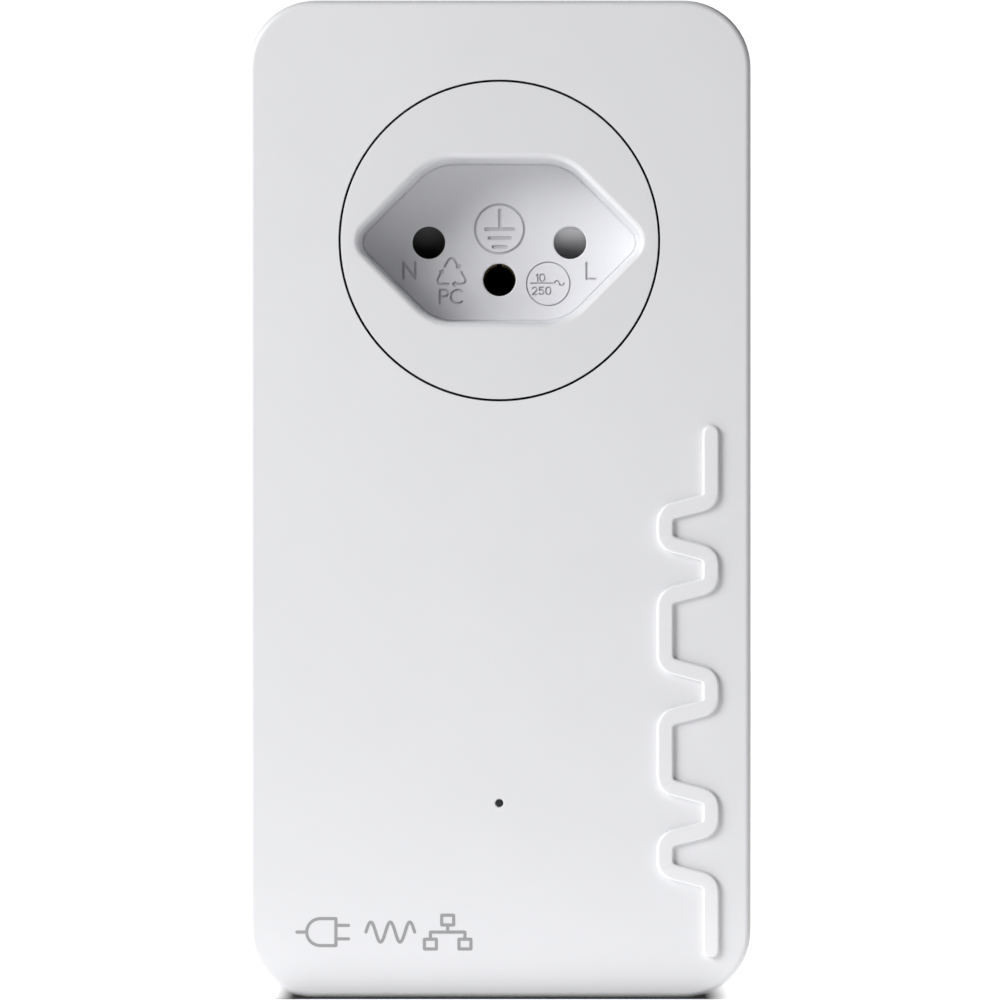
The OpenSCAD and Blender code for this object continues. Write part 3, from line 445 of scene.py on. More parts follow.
label = label_film(*span("rating_label"))
board = circuit_board()
ferrite = speckled("pressed_ferrite", (0.035, 0.035, 0.038), (0.09, 0.09, 0.09), 0.6)
powder_core = speckled("coated_powder_core", (0.1, 0.13, 0.035), (0.16, 0.2, 0.06), 0.42, 0.7)
ceramic = speckled("chip_ceramic", (0.34, 0.24, 0.13), (0.42, 0.32, 0.2), 0.4, 0.3)
capacitor_box = speckled("yellow_capacitor_case", (0.62, 0.4, 0.03), (0.68, 0.46, 0.05), 0.42, 0.4)
disc_coating = speckled("blue_dipped_coating", (0.02, 0.1, 0.42), (0.03, 0.13, 0.5), 0.22, 1.2)
sleeve = sleeved_can()
tape = wound("yellow_winding_tape", (0.72, 0.5, 0.05), 2.1)
winding = wound("close_copper_turns", (0.6, 0.24, 0.1), 0.35)
brown = insulated("brown_insulation", (0.12, 0.035, 0.012))
blue = insulated("blue_insulation", (0.02, 0.09, 0.5))
earth_stripes = insulated("striped_insulation", (0.1, 0.36, 0.03), (0.78, 0.62, 0.02))
window = moulded("light_package", (0.75, 0.75, 0.66), 0.25)
clear = clear_plastic()
print("materials:", len(bpy.data.materials))

# %% [markdown]
# ## Outlines
#
# Nearly every edge of this object is a straight run joined to a round one, so outlines come from a few
# functions: an arc, a circle, a rounded rectangle and the six-sided outline of the plug. Every outline of
# one kind has the same number of points at any size, so two of them can be joined by a band of quads.

# %% Outlines


def arc(x, up, r, start, end, steps):
    turns = [math.radians(start + (end - start) * i / steps) for i in range(steps + 1)]
    return [(x + r * math.cos(t), up + r * math.sin(t)) for t in turns]


def circle(x, up, r, steps=96):
    return arc(x, up, r, 0, 360, steps)[:-1]


def rounded_box(w, h, r, x=0, up=0, steps=14):
    corners = [(1, 1), (-1, 1), (-1, -1), (1, -1)]
    return [p for i, (sx, sy) in enumerate(corners)
            for p in arc(x + sx * (w / 2 - r), up + sy * (h / 2 - r), r, i * 90, i * 90 + 90, steps)]


def hexagon(tip, half, tip_r, side_r, steps=14):
    tip_x, side_x = tip - tip_r * math.sqrt(2), tip - half - side_r * (math.sqrt(2) - 1)
    quarters = [(tip_x, 0, tip_r, -45, 45), (side_x, half - side_r, side_r, 45, 90),
                (-side_x, half - side_r, side_r, 90, 135), (-tip_x, 0, tip_r, 135, 225),
                (-side_x, side_r - half, side_r, 225, 270), (side_x, side_r - half, side_r, 270, 315)]
    return [p for x, up, r, a, b in quarters for p in arc(x, up, r, a, b, steps)]


def at(outline, out):
    return [(x, up, out) for x, up in outline]


def rounding(r, steps=6):
    """How far an edge of radius r has turned in, and how far it still is below its face."""
    turns = [math.pi / 2 * i / steps for i in range(steps + 1)]
    return [(r * (1 - math.cos(t)), r * (1 - math.sin(t))) for t in turns]


# %% [markdown]
# ## Building a skin from rings
#
# A moulding is a closed skin. It is built as rings of points joined by bands, and its flat faces are filled
# between rings by a triangulation that also takes holes and sunk marks. Flat faces stay flat-shaded and the
# rounded edges between them smooth, so that a wide face doesn't pick up false shading from its small edge.

# %% Skins


def triangulated(loops):
    """Triangles that fill flat closed loops, and for each triangle the numbers of the loops round it."""
    flat, faces = [], []
    for loop in loops:
        ids = list(range(len(flat), len(flat) + len(loop)))
        area = sum(a.x * b.y - b.x * a.y for a, b in zip(loop, loop[1:] + loop[:1]))
        faces.append(ids if area > 0 else ids[::-1])
        flat += loop
    points, _, triangles, sources, _, within = delaunay_2d_cdt(flat, [], faces, 1, 1e-6)
    return points, triangles, sources, within


class Skin:
    def __init__(self, name):
        self.name, self.points, self.faces, self.finishes, self.used = name, [], [], [], []

    def use(self, material):
        if material not in self.finishes:
            self.finishes.append(material)
        self.current = self.finishes.index(material)
        return self

    def ring(self, points):
        self.points += [Vector(p) for p in points]
        return list(range(len(self.points) - len(points), len(self.points)))

    def add(self, *corners):
        self.faces.append(corners)
        self.used.append(self.current)

    def band(self, a, b):
        for i in range(len(a)):
            j = (i + 1) % len(a)
            self.add(a[i], a[j], b[j], b[i])

    def loft(self, rings, closed=False):
        made = [self.ring(r) for r in rings]
        for a, b in zip(made, made[1:] + made[:1] if closed else made[1:]):
            self.band(a, b)
        return made

    def plate(self, edge, holes=(), marks=(), depth=0.0, sunk_finish=None):
        """Fills the face inside edge and round the holes, with the outlines in marks sunk by depth."""
        rings = [edge, *holes]
        numbers = [i for ring in rings for i in ring]
        loops = [[self.points[i].xy for i in ring] for ring in rings]
        loops += [[Vector(p) for p in mark] for mark in marks]
        points, triangles, sources, within = triangulated(loops)
        level, top, low = self.points[edge[0]].z, {}, {}

        def corner_of(k, sunk):
            known = low if sunk else top
            if k not in known:
                old = [s for s in sources[k] if s < len(numbers)]
                z = level - depth if sunk else level
                known[k] = numbers[old[0]] if old and not sunk else self.ring([(*points[k], z)])[0]
            return known[k]

        sides, plain = {}, self.current
        for corners, inside in zip(triangles, within):
            if 0 not in inside or any(0 < i <= len(holes) for i in inside):
                continue
            sunk = any(i > len(holes) for i in inside)
            self.use(sunk_finish if sunk and sunk_finish else self.finishes[plain])
            self.add(*[corner_of(k, sunk) for k in corners])
            for a, b in zip(corners, corners[1:] + corners[:1]):
                sides[a, b] = sunk
        for (a, b), sunk in sides.items():
            if not sunk and sides.get((b, a)):
                self.add(corner_of(a, False), corner_of(b, False), corner_of(b, True), corner_of(a, True))
        self.current = plain

    def sheet(self, marks, back, front):
        """One thin solid of the area that the outlines in marks cover together."""
        points, triangles, _, within = triangulated([[Vector(p) for p in mark] for mark in marks])
        triangles = [t for t, inside in zip(triangles, within) if inside]
        low, top = [self.ring([(*p, out) for p in points]) for out in (back, front)]
        sides = {(a, b) for t in triangles for a, b in zip(t, t[1:] + t[:1])}
        for t in triangles:
            self.add(*[top[k] for k in t])
            self.add(*[low[k] for k in t[::-1]])
        for a, b in sides:
            if (b, a) not in sides:
                self.add(top[b], top[a], low[a], low[b])

    def turned(self, profile, x=0, up=0, steps=96, closed=True):
        """A solid of revolution about the out axis: profile is a list of (radius, out)."""
        return self.loft([at(circle(x, up, r, steps), out) for r, out in profile], closed)

    def turned_solid(self, profile, x=0, up=0, steps=64):
        rings = self.turned(profile, x, up, steps, closed=False)
        self.plate(rings[0])
        self.plate(rings[-1])

    def extrude(self, outlines, back, front):
        """A solid with a flat back and front, lofted through outlines at levels from back to front."""
        steps = [back + (front - back) * i / (len(outlines) - 1) for i in range(len(outlines))]
        rings = self.loft([at(o, z) for o, z in zip(outlines, steps)])
        self.plate(rings[0])
        self.plate(rings[-1])

    def mesh(self):
        mesh = bpy.data.meshes.new(self.name)
        mesh.from_pydata([place(p) for p in self.points], [], self.faces)
        for material in self.finishes:
            mesh.materials.append(material)
        mesh.polygons.foreach_set("material_index", self.used)
        clean(mesh)
        return mesh


def clean(mesh, sharp=38):
    work = bmesh.new()
    work.from_mesh(mesh)
    bmesh.ops.remove_doubles(work, verts=work.verts, dist=1e-7)
    bmesh.ops.dissolve_degenerate(work, edges=work.edges, dist=1e-7)
    bmesh.ops.recalc_face_normals(work, faces=work.faces)
    open_edges = sum(not e.is_manifold for e in work.edges)
    work.to_mesh(mesh)
    work.free()
    if open_edges:
        print("  open edges in", mesh.name, open_edges)
    for polygon in mesh.polygons:
        polygon.use_smooth = max(abs(c) for c in polygon.normal) < 0.99999
    mesh.set_sharp_from_angle(angle=math.radians(sharp))


def evened(piece):
    """Weighs each corner's normal by the size of the faces round it, so that a wide flat face looks flat."""
    rough, name = piece.data, piece.data.name
    modifier = piece.modifiers.new("evened", "WEIGHTED_NORMAL")
    modifier.keep_sharp = True
    made = bpy.data.meshes.new_from_object(piece.evaluated_get(bpy.context.evaluated_depsgraph_get()))
    piece.modifiers.remove(modifier)
    piece.data = made
    bpy.data.meshes.remove(rough)
    made.name = name


def finished(mesh, body, stands_for=()):
    piece = bpy.data.objects.new(mesh.name, mesh)
    bpy.context.scene.collection.objects.link(piece)
    evened(piece)
    mesh = piece.data
    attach(piece, body)
    if stands_for:
        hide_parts(*stands_for)
    print(f"{mesh.name}: {len(mesh.polygons)} faces")
    return piece


# %% [markdown]
# ## Rows, corners and wires
#
# Slots, screws and contact springs repeat. Geometry Nodes place them: a tree takes one piece, sets copies
# of it along a line or on the corners of a rectangle, makes them real and gives them their material. A
# third tree lays a round wire along a path. The result is then made a plain mesh, because an exported model
# can't carry the tree.

# %% Geometry Nodes


class Tree:
    def __init__(self, name, **inputs):
        self.tree = bpy.data.node_groups.new(name, "GeometryNodeTree")
        new_socket = self.tree.interface.new_socket
        new_socket("Geometry", in_out="INPUT", socket_type="NodeSocketGeometry")
        self.sockets = {key: new_socket(key.replace("_", " "), in_out="INPUT",
                                        socket_type="NodeSocket" + kind) for key, kind in inputs.items()}
        new_socket("Geometry", in_out="OUTPUT", socket_type="NodeSocketGeometry")
        self.start = self.tree.nodes.new("NodeGroupInput")
        self.end = self.tree.nodes.new("NodeGroupOutput")

    def given(self, name):
        return self.start.outputs[name.replace("_", " ")]

    def node(self, kind, settings=None, **inputs):
        node = self.tree.nodes.new(kind)
        for key, value in (settings or {}).items():
            setattr(node, key, value)
        for key, value in inputs.items():
            socket = node.inputs[key.replace("_", " ")]
            if isinstance(value, bpy.types.NodeSocket):
                self.tree.links.new(value, socket)
            else:
                socket.default_value = value
        return node.outputs[0]

    def close(self, geometry):
        real = self.node("GeometryNodeRealizeInstances", Geometry=geometry)
        dressed = self.node("GeometryNodeSetMaterial", Geometry=real, Material=self.given("Material"))
        self.tree.links.new(dressed, self.end.inputs[0])
        return self

    def run(self, mesh, name, **values):
        carrier = bpy.data.objects.new(name, mesh)
        bpy.context.scene.collection.objects.link(carrier)
        modifier = carrier.modifiers.new(name, "NODES")
        modifier.node_group = self.tree
        for key, value in values.items():
            modifier[self.sockets[key].identifier] = value
        seen = carrier.evaluated_get(bpy.context.evaluated_depsgraph_get())
        made = bpy.data.meshes.new_from_object(seen)
        made.name = name
        carrier.modifiers.remove(modifier)
        bpy.data.objects.remove(carrier)
        return made


def row_tree():
    tree = Tree("row_of_copies", Count="Int", Step="Vector", Material="Material")
    line = tree.node("GeometryNodeMeshLine", {"mode": "OFFSET"}, Count=tree.given("Count"),
                     Offset=tree.given("Step"))
    return tree.close(tree.node("GeometryNodeInstanceOnPoints", Points=line, Instance=tree.given("Geometry")))


def corner_tree():
    tree = Tree("four_corners", Across="Float", Upwards="Float", Centre="Vector", Material="Material")
    grid = tree.node("GeometryNodeMeshGrid", Size_X=tree.given("Across"), Size_Y=tree.given("Upwards"),
                     Vertices_X=2, Vertices_Y=2)
    upright = tree.node("GeometryNodeTransform", Geometry=grid, Rotation=(math.pi / 2, 0, 0),
                        Translation=tree.given("Centre"))
    return tree.close(tree.node("GeometryNodeInstanceOnPoints", Points=upright,
                                Instance=tree.given("Geometry")))


def wire_tree():
    """A wire along the edges of a mesh that is one open path."""
    tree = Tree("wire_along_path", Radius="Float", Sides="Int", Material="Material")
    path = tree.node("GeometryNodeMeshToCurve", Mesh=tree.given("Geometry"))
    ring = tree.node("GeometryNodeCurvePrimitiveCircle", Resolution=tree.given("Sides"),
                     Radius=tree.given("Radius"))
    tube = tree.node("GeometryNodeCurveToMesh", Curve=path, Profile_Curve=ring, Fill_Caps=True)
    return tree.close(tree.node("GeometryNodeSetShadeSmooth", Geometry=tube))


rows, corners, wires = row_tree(), corner_tree(), wire_tree()


def joined(name, *meshes):
    """One mesh of several, each with its own materials."""
    work, materials = bmesh.new(), []
    for mesh in meshes:
        first = len(work.faces)
        work.from_mesh(mesh)
        work.faces.ensure_lookup_table()
        own = [m for m in mesh.materials]
        materials += [m for m in own if m not in materials]
        for f in work.faces[first:]:
            f.material_index = materials.index(own[f.material_index])
    made = bpy.data.meshes.new(name)
    work.to_mesh(made)
    work.free()
    for material in materials:
        made.materials.append(material)
    return made


def step(right=0.0, up=0.0, out=0.0):
    return tuple(place((right, up, out)))


on_screws = {"Across": 2 * screw_at[-1][0] * MM, "Upwards": (screw_at[0][1] - screw_at[1][1]) * MM,
             "Centre": step(0, (screw_at[0][1] + screw_at[1][1]) / 2, 0)}
print("trees:", [g.name for g in bpy.data.node_groups])

# %% [markdown]
# ## The front cover
#
# The cover is one moulding: a plate with a rounded front edge, a short skirt, and a stepped lip that slides
# into the rear housing and leaves a fine shadow line. Behind the plate stand four screw posts and the light
# guide's collar. The skin follows one profile round the rounded rectangle, so every ring has the same
# points.

# %% Front cover
edge_r, opening_r, light_r, post_r = 0.8, insert_r + 0.25, 0.55, 3.1


def body_ring(inset, out):
    return at(rounded_box(width - 2 * inset, height - 2 * inset, corner - inset, 0, middle), out)


def gap_edge(r, away, back):
    """One side of the gap round the insert, from the face down to back, its edge eased away from the gap."""
    return [(r + away * 0.06, face), (r + away * 0.015, face - 0.02), (r, face - 0.07), (r, back)]


def front_cover():
    skin = Skin("front_shell").use(satin_white)
    lip = 1.05
    profile = [(wall + t, face - wall - 0.5 + (0.5 - d)) for t, d in rounding(0.5)][::-1]
    profile += [(wall, lip_back + 0.1), (wall - 0.1, lip_back), (lip + 0.15, lip_back)]
    profile += [(lip, lip_back + 0.15), (lip, cover_back), (0.15, cover_back), (0, cover_back + 0.15)]
    profile += [(t, face - d) for t, d in rounding(edge_r, 8)]
    rings_made = skin.loft([body_ring(inset, out) for inset, out in profile])
    socket = skin.turned(gap_edge(opening_r, 1, face - wall), steps=160, closed=False)
    light = skin.turned([(light_r + 0.1, face), (light_r, face - 0.12), (light_r, face - wall)],
                        0, light_up, 32, False)
    skin.plate(rings_made[-1], [socket[0], light[0]])
    skin.plate(rings_made[0], [socket[-1], light[-1]])
    for x, up in screw_at:
        skin.turned([(post_r, cover_back + seam), (post_r, face - wall + 0.2), (1.55, face - wall + 0.2),
                     (1.55, cover_back + seam)], x, up, 40)
    skin.turned([(2.6, face - wall - 4), (2.6, face - wall + 0.2), (1.45, face - wall + 0.2),
                 (1.45, face - wall - 4)], 0, light_up, 40)
    return finished(skin.mesh(), "casing", ["front_cover"])


front_cover()

# %% [markdown]
# ## The raised signal trace
#
# The trace is a square-shouldered signal that climbs the face near its right edge, polished where the face
# is grained. It is a ribbon along a path whose corners are rounded by arcs. The ribbon's outline is the
# path moved to either side, and each higher ring of it is a little narrower, which rounds the top edge.

# %% Signal trace
trace_high_x, trace_low_x = width / 2 - 5.3, width / 2 - 11.4
trace_runs, trace_rise, trace_w, trace_h = [9, 4, 4, 9, 4, 9, 4, 4, 9], 1.6, 2.2, cover_high.z - face


def signal_path():
    up, path = case_low.y + 6.5, []
    for i, run in enumerate(trace_runs):
        x = trace_low_x if i % 2 else trace_high_x
        path += [Vector((x, up)), Vector((x, up + run))]
        up += run + trace_rise
    return path


def softened(path, r, steps=6):
    """The path with an arc of radius r in each corner, or a smaller one where the sides are short."""
    soft = [path[0]]
    for before, bend, after in zip(path, path[1:], path[2:]):
        a, b = before - bend, after - bend
        half = a.angle(b) / 2
        reach = min(r / math.tan(half), a.length / 2, b.length / 2)
        a, b = a.normalized(), b.normalized()
        centre = bend + (a + b).normalized() * reach / math.cos(half)
        spoke, last = bend + a * reach - centre, bend + b * reach - centre
        sweep = math.atan2(spoke.x * last.y - spoke.y * last.x, spoke.dot(last))
        soft += [centre + Matrix.Rotation(sweep * i / steps, 2) @ spoke for i in range(steps + 1)]
    return soft + [path[-1]]


def ribbon(path, half, ends=6):
    """The outline of a line with round ends and the given half width."""
    sides = []
    for i, p in enumerate(path):
        along = (path[min(i + 1, len(path) - 1)] - path[max(i - 1, 0)]).normalized()
        sides.append(Vector((-along.y, along.x)))
    left = [p + n * half for p, n in zip(path, sides)]
    right = [p - n * half for p, n in zip(path, sides)][::-1]

    def cap(centre, normal, turn):
        a = math.degrees(math.atan2(normal.y, normal.x))
        return [Vector(p) for p in arc(centre.x, centre.y, half, a, a + turn, ends)[1:-1]]

    return left + cap(path[-1], sides[-1], -180) + right + cap(path[0], -sides[0], -180)


def signal_trace():
    # The trace's whiter plastic is a painted sheen on its polished top.
    skin = Skin("raised_trace").use(gloss_white_painted_sheen)
    path, soft_r = softened(signal_path(), 1.6), 0.34
    levels = [(0.0, face - 0.3), (0.0, face)]
    levels += [(t, face + trace_h - d) for t, d in rounding(soft_r, 6)]
    made = skin.loft([at(ribbon(path, trace_w / 2 - inset), out) for inset, out in levels])
    skin.plate(made[0])
    skin.plate(made[-1])
    return finished(skin.mesh(), "casing")


signal_trace()

# %% [markdown]
# ## Strokes
#
# The marks in the recess are cut with a fine line, and the pictograms on the face are printed with one.
# Both are drawn as strokes: a stroke is a path, its outline a thin ribbon, and a sign is a list of strokes.
# The signs here are the usual ones: line, neutral, earth, recycling, and the rating in its circle.

# %% Strokes and signs


def stroke(points, w):
    return ribbon([Vector(p) for p in points], w / 2, 4)


def moved(strokes, x, up, scale=1.0):
    return [[(x + px * scale, up + py * scale) for px, py in s] for s in strokes]


def hoop(x, up, r, w, steps=20):
    """A ring drawn as two half strokes that overlap a little, because a stroke has ends."""
    return [stroke(arc(x, up, r, start, start + 184, steps), w) for start in (0, 180)]


SIGNS = {
    "N": [[(0, 0), (0, 6)], [(0, 6), (4.4, 0)], [(4.4, 0), (4.4, 6)]],
    "L": [[(0, 6), (0, 0)], [(0, 0), (3.4, 0)]],
    "1": [[(0, 4.8), (1.2, 6)], [(1.2, 6), (1.2, 0)]],
    "0": [arc(2, 4, 2, 0, 180, 10) + arc(2, 2, 2, 180, 350, 10), [(4, 2), (4, 4)]],
    "2": [arc(2, 4.1, 1.9, 165, -35, 10) + [(0.1, 0)], [(0.1, 0), (4, 0)]],
    "5": [[(3.7, 6), (0.5, 6)], [(0.5, 6), (0.2, 3.4)], arc(1.9, 2, 2, 140, -150, 12)],
    "~": [arc(1, 0, 1, 180, 0, 6) + arc(3, 0, 1, 180, 360, 6)[1:]],
    "P": [[(0, 0), (0, 6)], [(0, 6), (2.2, 6)], arc(2.2, 4.5, 1.5, 90, -90, 10), [(2.2, 3), (0, 3)]],
    "C": [arc(2.6, 3, 3, 50, 310, 16)],
}


def written(signs, x, up, h, w):
    strokes, pen = [], x
    for sign in signs:
        part = SIGNS[sign]
        strokes += [stroke(s, w) for s in moved(part, pen, up, h / 6)]
        pen += (max(px for s in part for px, _ in s) + 1.7) * h / 6
    return strokes


def earth_sign(x, up, r, w):
    bars = [(1.88, -0.04), (1.41, -1.24), (0.86, -2.42)]
    strokes = hoop(x, up, r, w) + [stroke([(x, up + 0.1), (x, up + 2.5)], w * 1.35)]
    return strokes + [stroke([(x - half, up + y), (x + half, up + y)], w * 1.35) for half, y in bars]


def recycling_sign(x, up, half, w):
    """Three bent arrows that chase each other round a triangle."""
    foot = up - half * 0.8
    triangle = [Vector((x, up + half * 0.97)), Vector((x + half, foot)), Vector((x - half, foot))]
    strokes = []
    for i, bend in enumerate(triangle):
        before, after = triangle[i - 1], triangle[(i + 1) % 3]
        tip = bend.lerp(after, 0.46)
        strokes.append(stroke(softened([bend.lerp(before, 0.4), bend, tip], 0.5, 5), w))
        back = (bend - after).normalized() * 0.4
        strokes += [stroke([tip, tip + Matrix.Rotation(s * 0.75, 2) @ back], w * 0.8) for s in (-1, 1)]
    return strokes


def rating_sign(x, up, r, w):
    strokes = hoop(x, up, r, w) + [stroke([(x - 2.35, up + 0.1), (x + 0.6, up + 0.1)], w)]
    strokes += written("10", x - 1.6, up + 0.35, 0.97, w) + written("250", x - 2.15, up - 1.42, 0.97, w)
    return strokes + written("~", x + 0.85, up + 0.1, 1.9, w)


recess_marks = earth_sign(0.05, 1.86, 3.3, 0.36) + written("N", -12.9, -4.8, 2.15, 0.36)
recess_marks += written("L", 11.7, -4.85, 2.15, 0.3) + recycling_sign(-6.42, -3.75, 2.25, 0.34)
recess_marks += rating_sign(6.57, -5.53, 2.92, 0.17) + written("PC", -8.0, -8.15, 1.8, 0.34)
print("marks in the recess:", len(recess_marks))

# %% [markdown]
# ## The socket insert
#
# A round white disc fills the cover's opening with a hair of a gap. Its six-sided recess has a soft mouth,
# walls that lean a little so the moulding can leave the tool, and a floor with three pin holes and the sunk
# marks. Behind, the recess is a tube with a flange that holds the disc against the cover. The disc's side
# and the flange are painted near black from 0.4 mm down, a painted shade that makes the narrow gap look
# as dark as a deep one.

# %% Socket insert
recess_tip, recess_half, tip_r, side_r, tube_t = 19.8, 10.9, 2.6, 7.0, 1.6


def recess(grow):
    """The recess's outline, grown on every side."""
    return hexagon(recess_tip + grow * math.sqrt(2), recess_half + grow, tip_r + grow, side_r + grow)


def socket_insert():
    skin = Skin("socket_disc").use(socket_white)
    mouth_r, toe, lean = 0.85, 0.12, 0.32
    walls = [(below, face - turned_in) for turned_in, below in rounding(mouth_r, 8)]
    walls += [(-lean * i / 4, face - mouth_r - (10 - mouth_r) * i / 4) for i in (2, 4)]
    walls += [(-lean, floor - toe), (-lean - 0.14, floor - toe), (-lean - 0.2, floor)]
    inner = skin.loft([at(recess(grow), out) for grow, out in walls])
    rim = insert_r - 0.05
    shade_top, flange_back = face - 0.4, face - wall - 1.5
    edge = skin.turned(gap_edge(rim, -1, shade_top), steps=160, closed=False)
    # From 0.4 mm down the disc's side and the flange are painted near black, a painted shade for the gap.
    skin.use(gap_shade)
    disc = skin.turned([(rim, shade_top), (rim, face - wall), (flange_r, face - wall),
                        (flange_r, flange_back)], steps=160, closed=False)
    skin.use(socket_white)
    tube = skin.loft([at(recess(tube_t), out) for out in (flange_back, insert_low.z)])
    pins = [skin.turned([(hole_r + 0.14, floor), (hole_r, floor - 0.14), (hole_r, insert_low.z)],
                        x, up, 48, False) for x, up in holes_at]
    skin.plate(edge[0], [inner[0]])
    # The sunk marks take the darker plastic, a painted shade in their grooves.
    skin.plate(inner[-1], [p[0] for p in pins], recess_marks, 0.28, sunk_mark_painted_shade)
    skin.plate(disc[-1], [tube[0]])
    skin.plate(tube[-1], [p[-1] for p in pins])
    return finished(skin.mesh(), "casing", ["socket_insert"])


socket_insert()

# %% [markdown]
# ## Printed pictograms
#
# Small grey signs at the foot of the face say what the adapter does: a plug, the mains wave that carries
# the data, and three networked boxes. Pad printing lays ink a few hundredths of a millimetre thick, so each
# stroke is a very low solid standing on the face.

# %% Pictograms


def ink():
    finish = Finish("grey_printing_ink", (0.36, 0.36, 0.37))
    finish.set("Roughness", 0.5 + finish.noise(0.3) * 0.15)
    finish.bump(finish.noise(0.15, 3.0), 0.002)
    return finish.material


grey_ink = ink()


def edges(points):
    return [[a, b] for a, b in zip(points, points[1:])]


def pictograms(x, up, w):
    strokes = [arc(3.1, 1.3, 1.8, 90, 270, 12), [(0, 1.3), (1.3, 1.3)], [(5.2, 0.4), (6.9, 0.4)],
               [(5.2, 2.2), (6.9, 2.2)]] + edges([(3.1, -0.5), (5.2, -0.5), (5.2, 3.1), (3.1, 3.1)])
    strokes.append([(9.2 + i / 8, 1.3 + 1.35 * math.sin(i / 8 * math.tau / 2.6)) for i in range(53)])
    round_a_box = [(-1, -1), (1, -1), (1, 1), (-1, 1), (-1, -1)]
    for bx, by in [(20.1, 2.9), (17.8, -0.3), (22.4, -0.3)]:
        strokes += edges([(bx + sx * 0.8, by + sy * 0.65) for sx, sy in round_a_box])
    strokes += [[(20.1, 2.25), (20.1, 1.3)]] + edges([(17.8, 0.35), (17.8, 1.3), (22.4, 1.3), (22.4, 0.35)])
    return [stroke(s, w) for s in moved(strokes, x, up)]


def printing():
    skin = Skin("printed_pictograms").use(grey_ink)
    skin.sheet(pictograms(-27.0, -93.5, 0.42), face - 0.02, face + 0.03)
    return finished(skin.mesh(), "casing")


printing()

# %% [markdown]
# ## The rear housing
#
# The housing is a deep tray, a skin from one profile whose back plate is filled round the plug's hole, the
# screw wells, two groups of slots and the label's bed. What opens its sides is then cut away: ventilation
# slots, the notch for the port panel, the button's slot and the reset guide's hole. Each cutter flares at
# the outer surface, so every cut gets the small chamfer that a mould edge has.

# %% Rear housing
rear_r, plug_disc_r = 2.5, 18.9
label_low, label_high = span("rating_label")
vent_w, vent_pitch, vent_out, vent_l = 1.3, 3.2, 12, 12
side_vents, top_vents, rear_vents, rear_vent_l, side_vents_up, label_gap = 19, 9, 3, 28, -90, 6


def flared(name, outline, deep, flare=0.22):
    """A cutter that enters a surface at out = 0 and runs deep into it, opening towards the surface."""
    skin = Skin(name).use(rear_white)
    levels = [(flare + 0.6, 0.6), (flare, 0.0), (flare * 0.3, -flare * 0.45), (0, -flare), (0, -deep)]
    made = skin.loft([at(outline(grow), out) for grow, out in levels])
    skin.plate(made[0])
    skin.plate(made[-1])
    return skin.mesh()


def turn_to(mesh, axis, at_point):
    """Turns a cutter made facing out, so that it faces along axis instead, and puts it at a point."""
    spin = Vector((0, -1, 0)).rotation_difference(Vector(axis)).to_matrix().to_4x4()
    mesh.transform(Matrix.Translation(place(at_point)) @ spin)
    return mesh


def slot_shape(w, h):
    return lambda grow: rounded_box(w + 2 * grow, h + 2 * grow, min(w, h) / 2 - 0.05 + grow, steps=5)


def cutter_row(name, shape, axis, start, count, along):
    one = turn_to(flared(name, shape, wall + 1), axis, start)
    return rows.run(one, name, Count=count, Step=along, Material=rear_white)


def ring_shape(r, steps=64):
    return lambda grow: circle(0, 0, r + grow, steps)


def box_shape(w, h, r):
    return lambda grow: rounded_box(w + 2 * grow, h + 2 * grow, r + grow, steps=4)


def cut(mesh, cutter):
    target, tool = bpy.data.objects.new(mesh.name, mesh), bpy.data.objects.new("cutter", cutter)
    for thing in (target, tool):
        bpy.context.scene.collection.objects.link(thing)
    modifier = target.modifiers.new("cut", "BOOLEAN")
    modifier.operation, modifier.solver, modifier.object = "DIFFERENCE", "EXACT", tool
    made = bpy.data.meshes.new_from_object(target.evaluated_get(bpy.context.evaluated_depsgraph_get()))
    made.name = mesh.name
    for thing in (target, tool):
        bpy.data.objects.remove(thing)
    clean(made)
    return made


def screw_tube():
    skin = Skin("screw_tube").use(rear_white)
    skin.turned([(3, wall - 0.5), (3, 22), (1.6, 22), (1.6, cover_back + seam), (4.2, cover_back + seam),
                 (4.2, wall - 0.5)], 0, 0, 48)
    return skin.mesh()


def tray():
    """The open tray, its back opened for the plug, the screws and the air, with a bed for the label."""
    skin = Skin("rear_shell").use(rear_white)
    top, rebate = cover_back - seam, 1.0
    profile = [(wall + d, wall + t) for t, d in rounding(0.6)]
    profile += [(wall, lip_back), (rebate, lip_back), (rebate, top), (0.12, top), (0, top - 0.12)]
    profile += [(t, d) for t, d in rounding(rear_r, 9)]
    made = skin.loft([body_ring(inset, out) for inset, out in profile])
    holes = [(ring_shape(plug_disc_r + 0.1, 128), (0, 0), 0.15)]
    holes += [(ring_shape(3), screw, 0.3) for screw in screw_at]
    lowest = label_low.y - label_gap - (rear_vents - 1) * vent_pitch
    holes += [(slot_shape(rear_vent_l, vent_w), (0, first + i * vent_pitch), 0.22)
              for first in (lowest, label_high.y + label_gap) for i in range(rear_vents)]
    eyes = [skin.loft([at([(px + x, py + up) for px, py in shape(grow)], out)
                       for grow, out in [(flare, 0), (flare * 0.3, flare * 0.45), (0, flare), (0, wall)]])
            for shape, (x, up), flare in holes]
    bed = rounded_box(label_high.x - label_low.x + 0.6, label_high.y - label_low.y + 0.6, 1.5,
                      0, (label_low.y + label_high.y) / 2, 4)
    skin.plate(made[-1], [e[0] for e in eyes], [bed], -0.2, rear_white)
    skin.plate(made[0], [e[-1] for e in eyes])
    return skin.mesh()


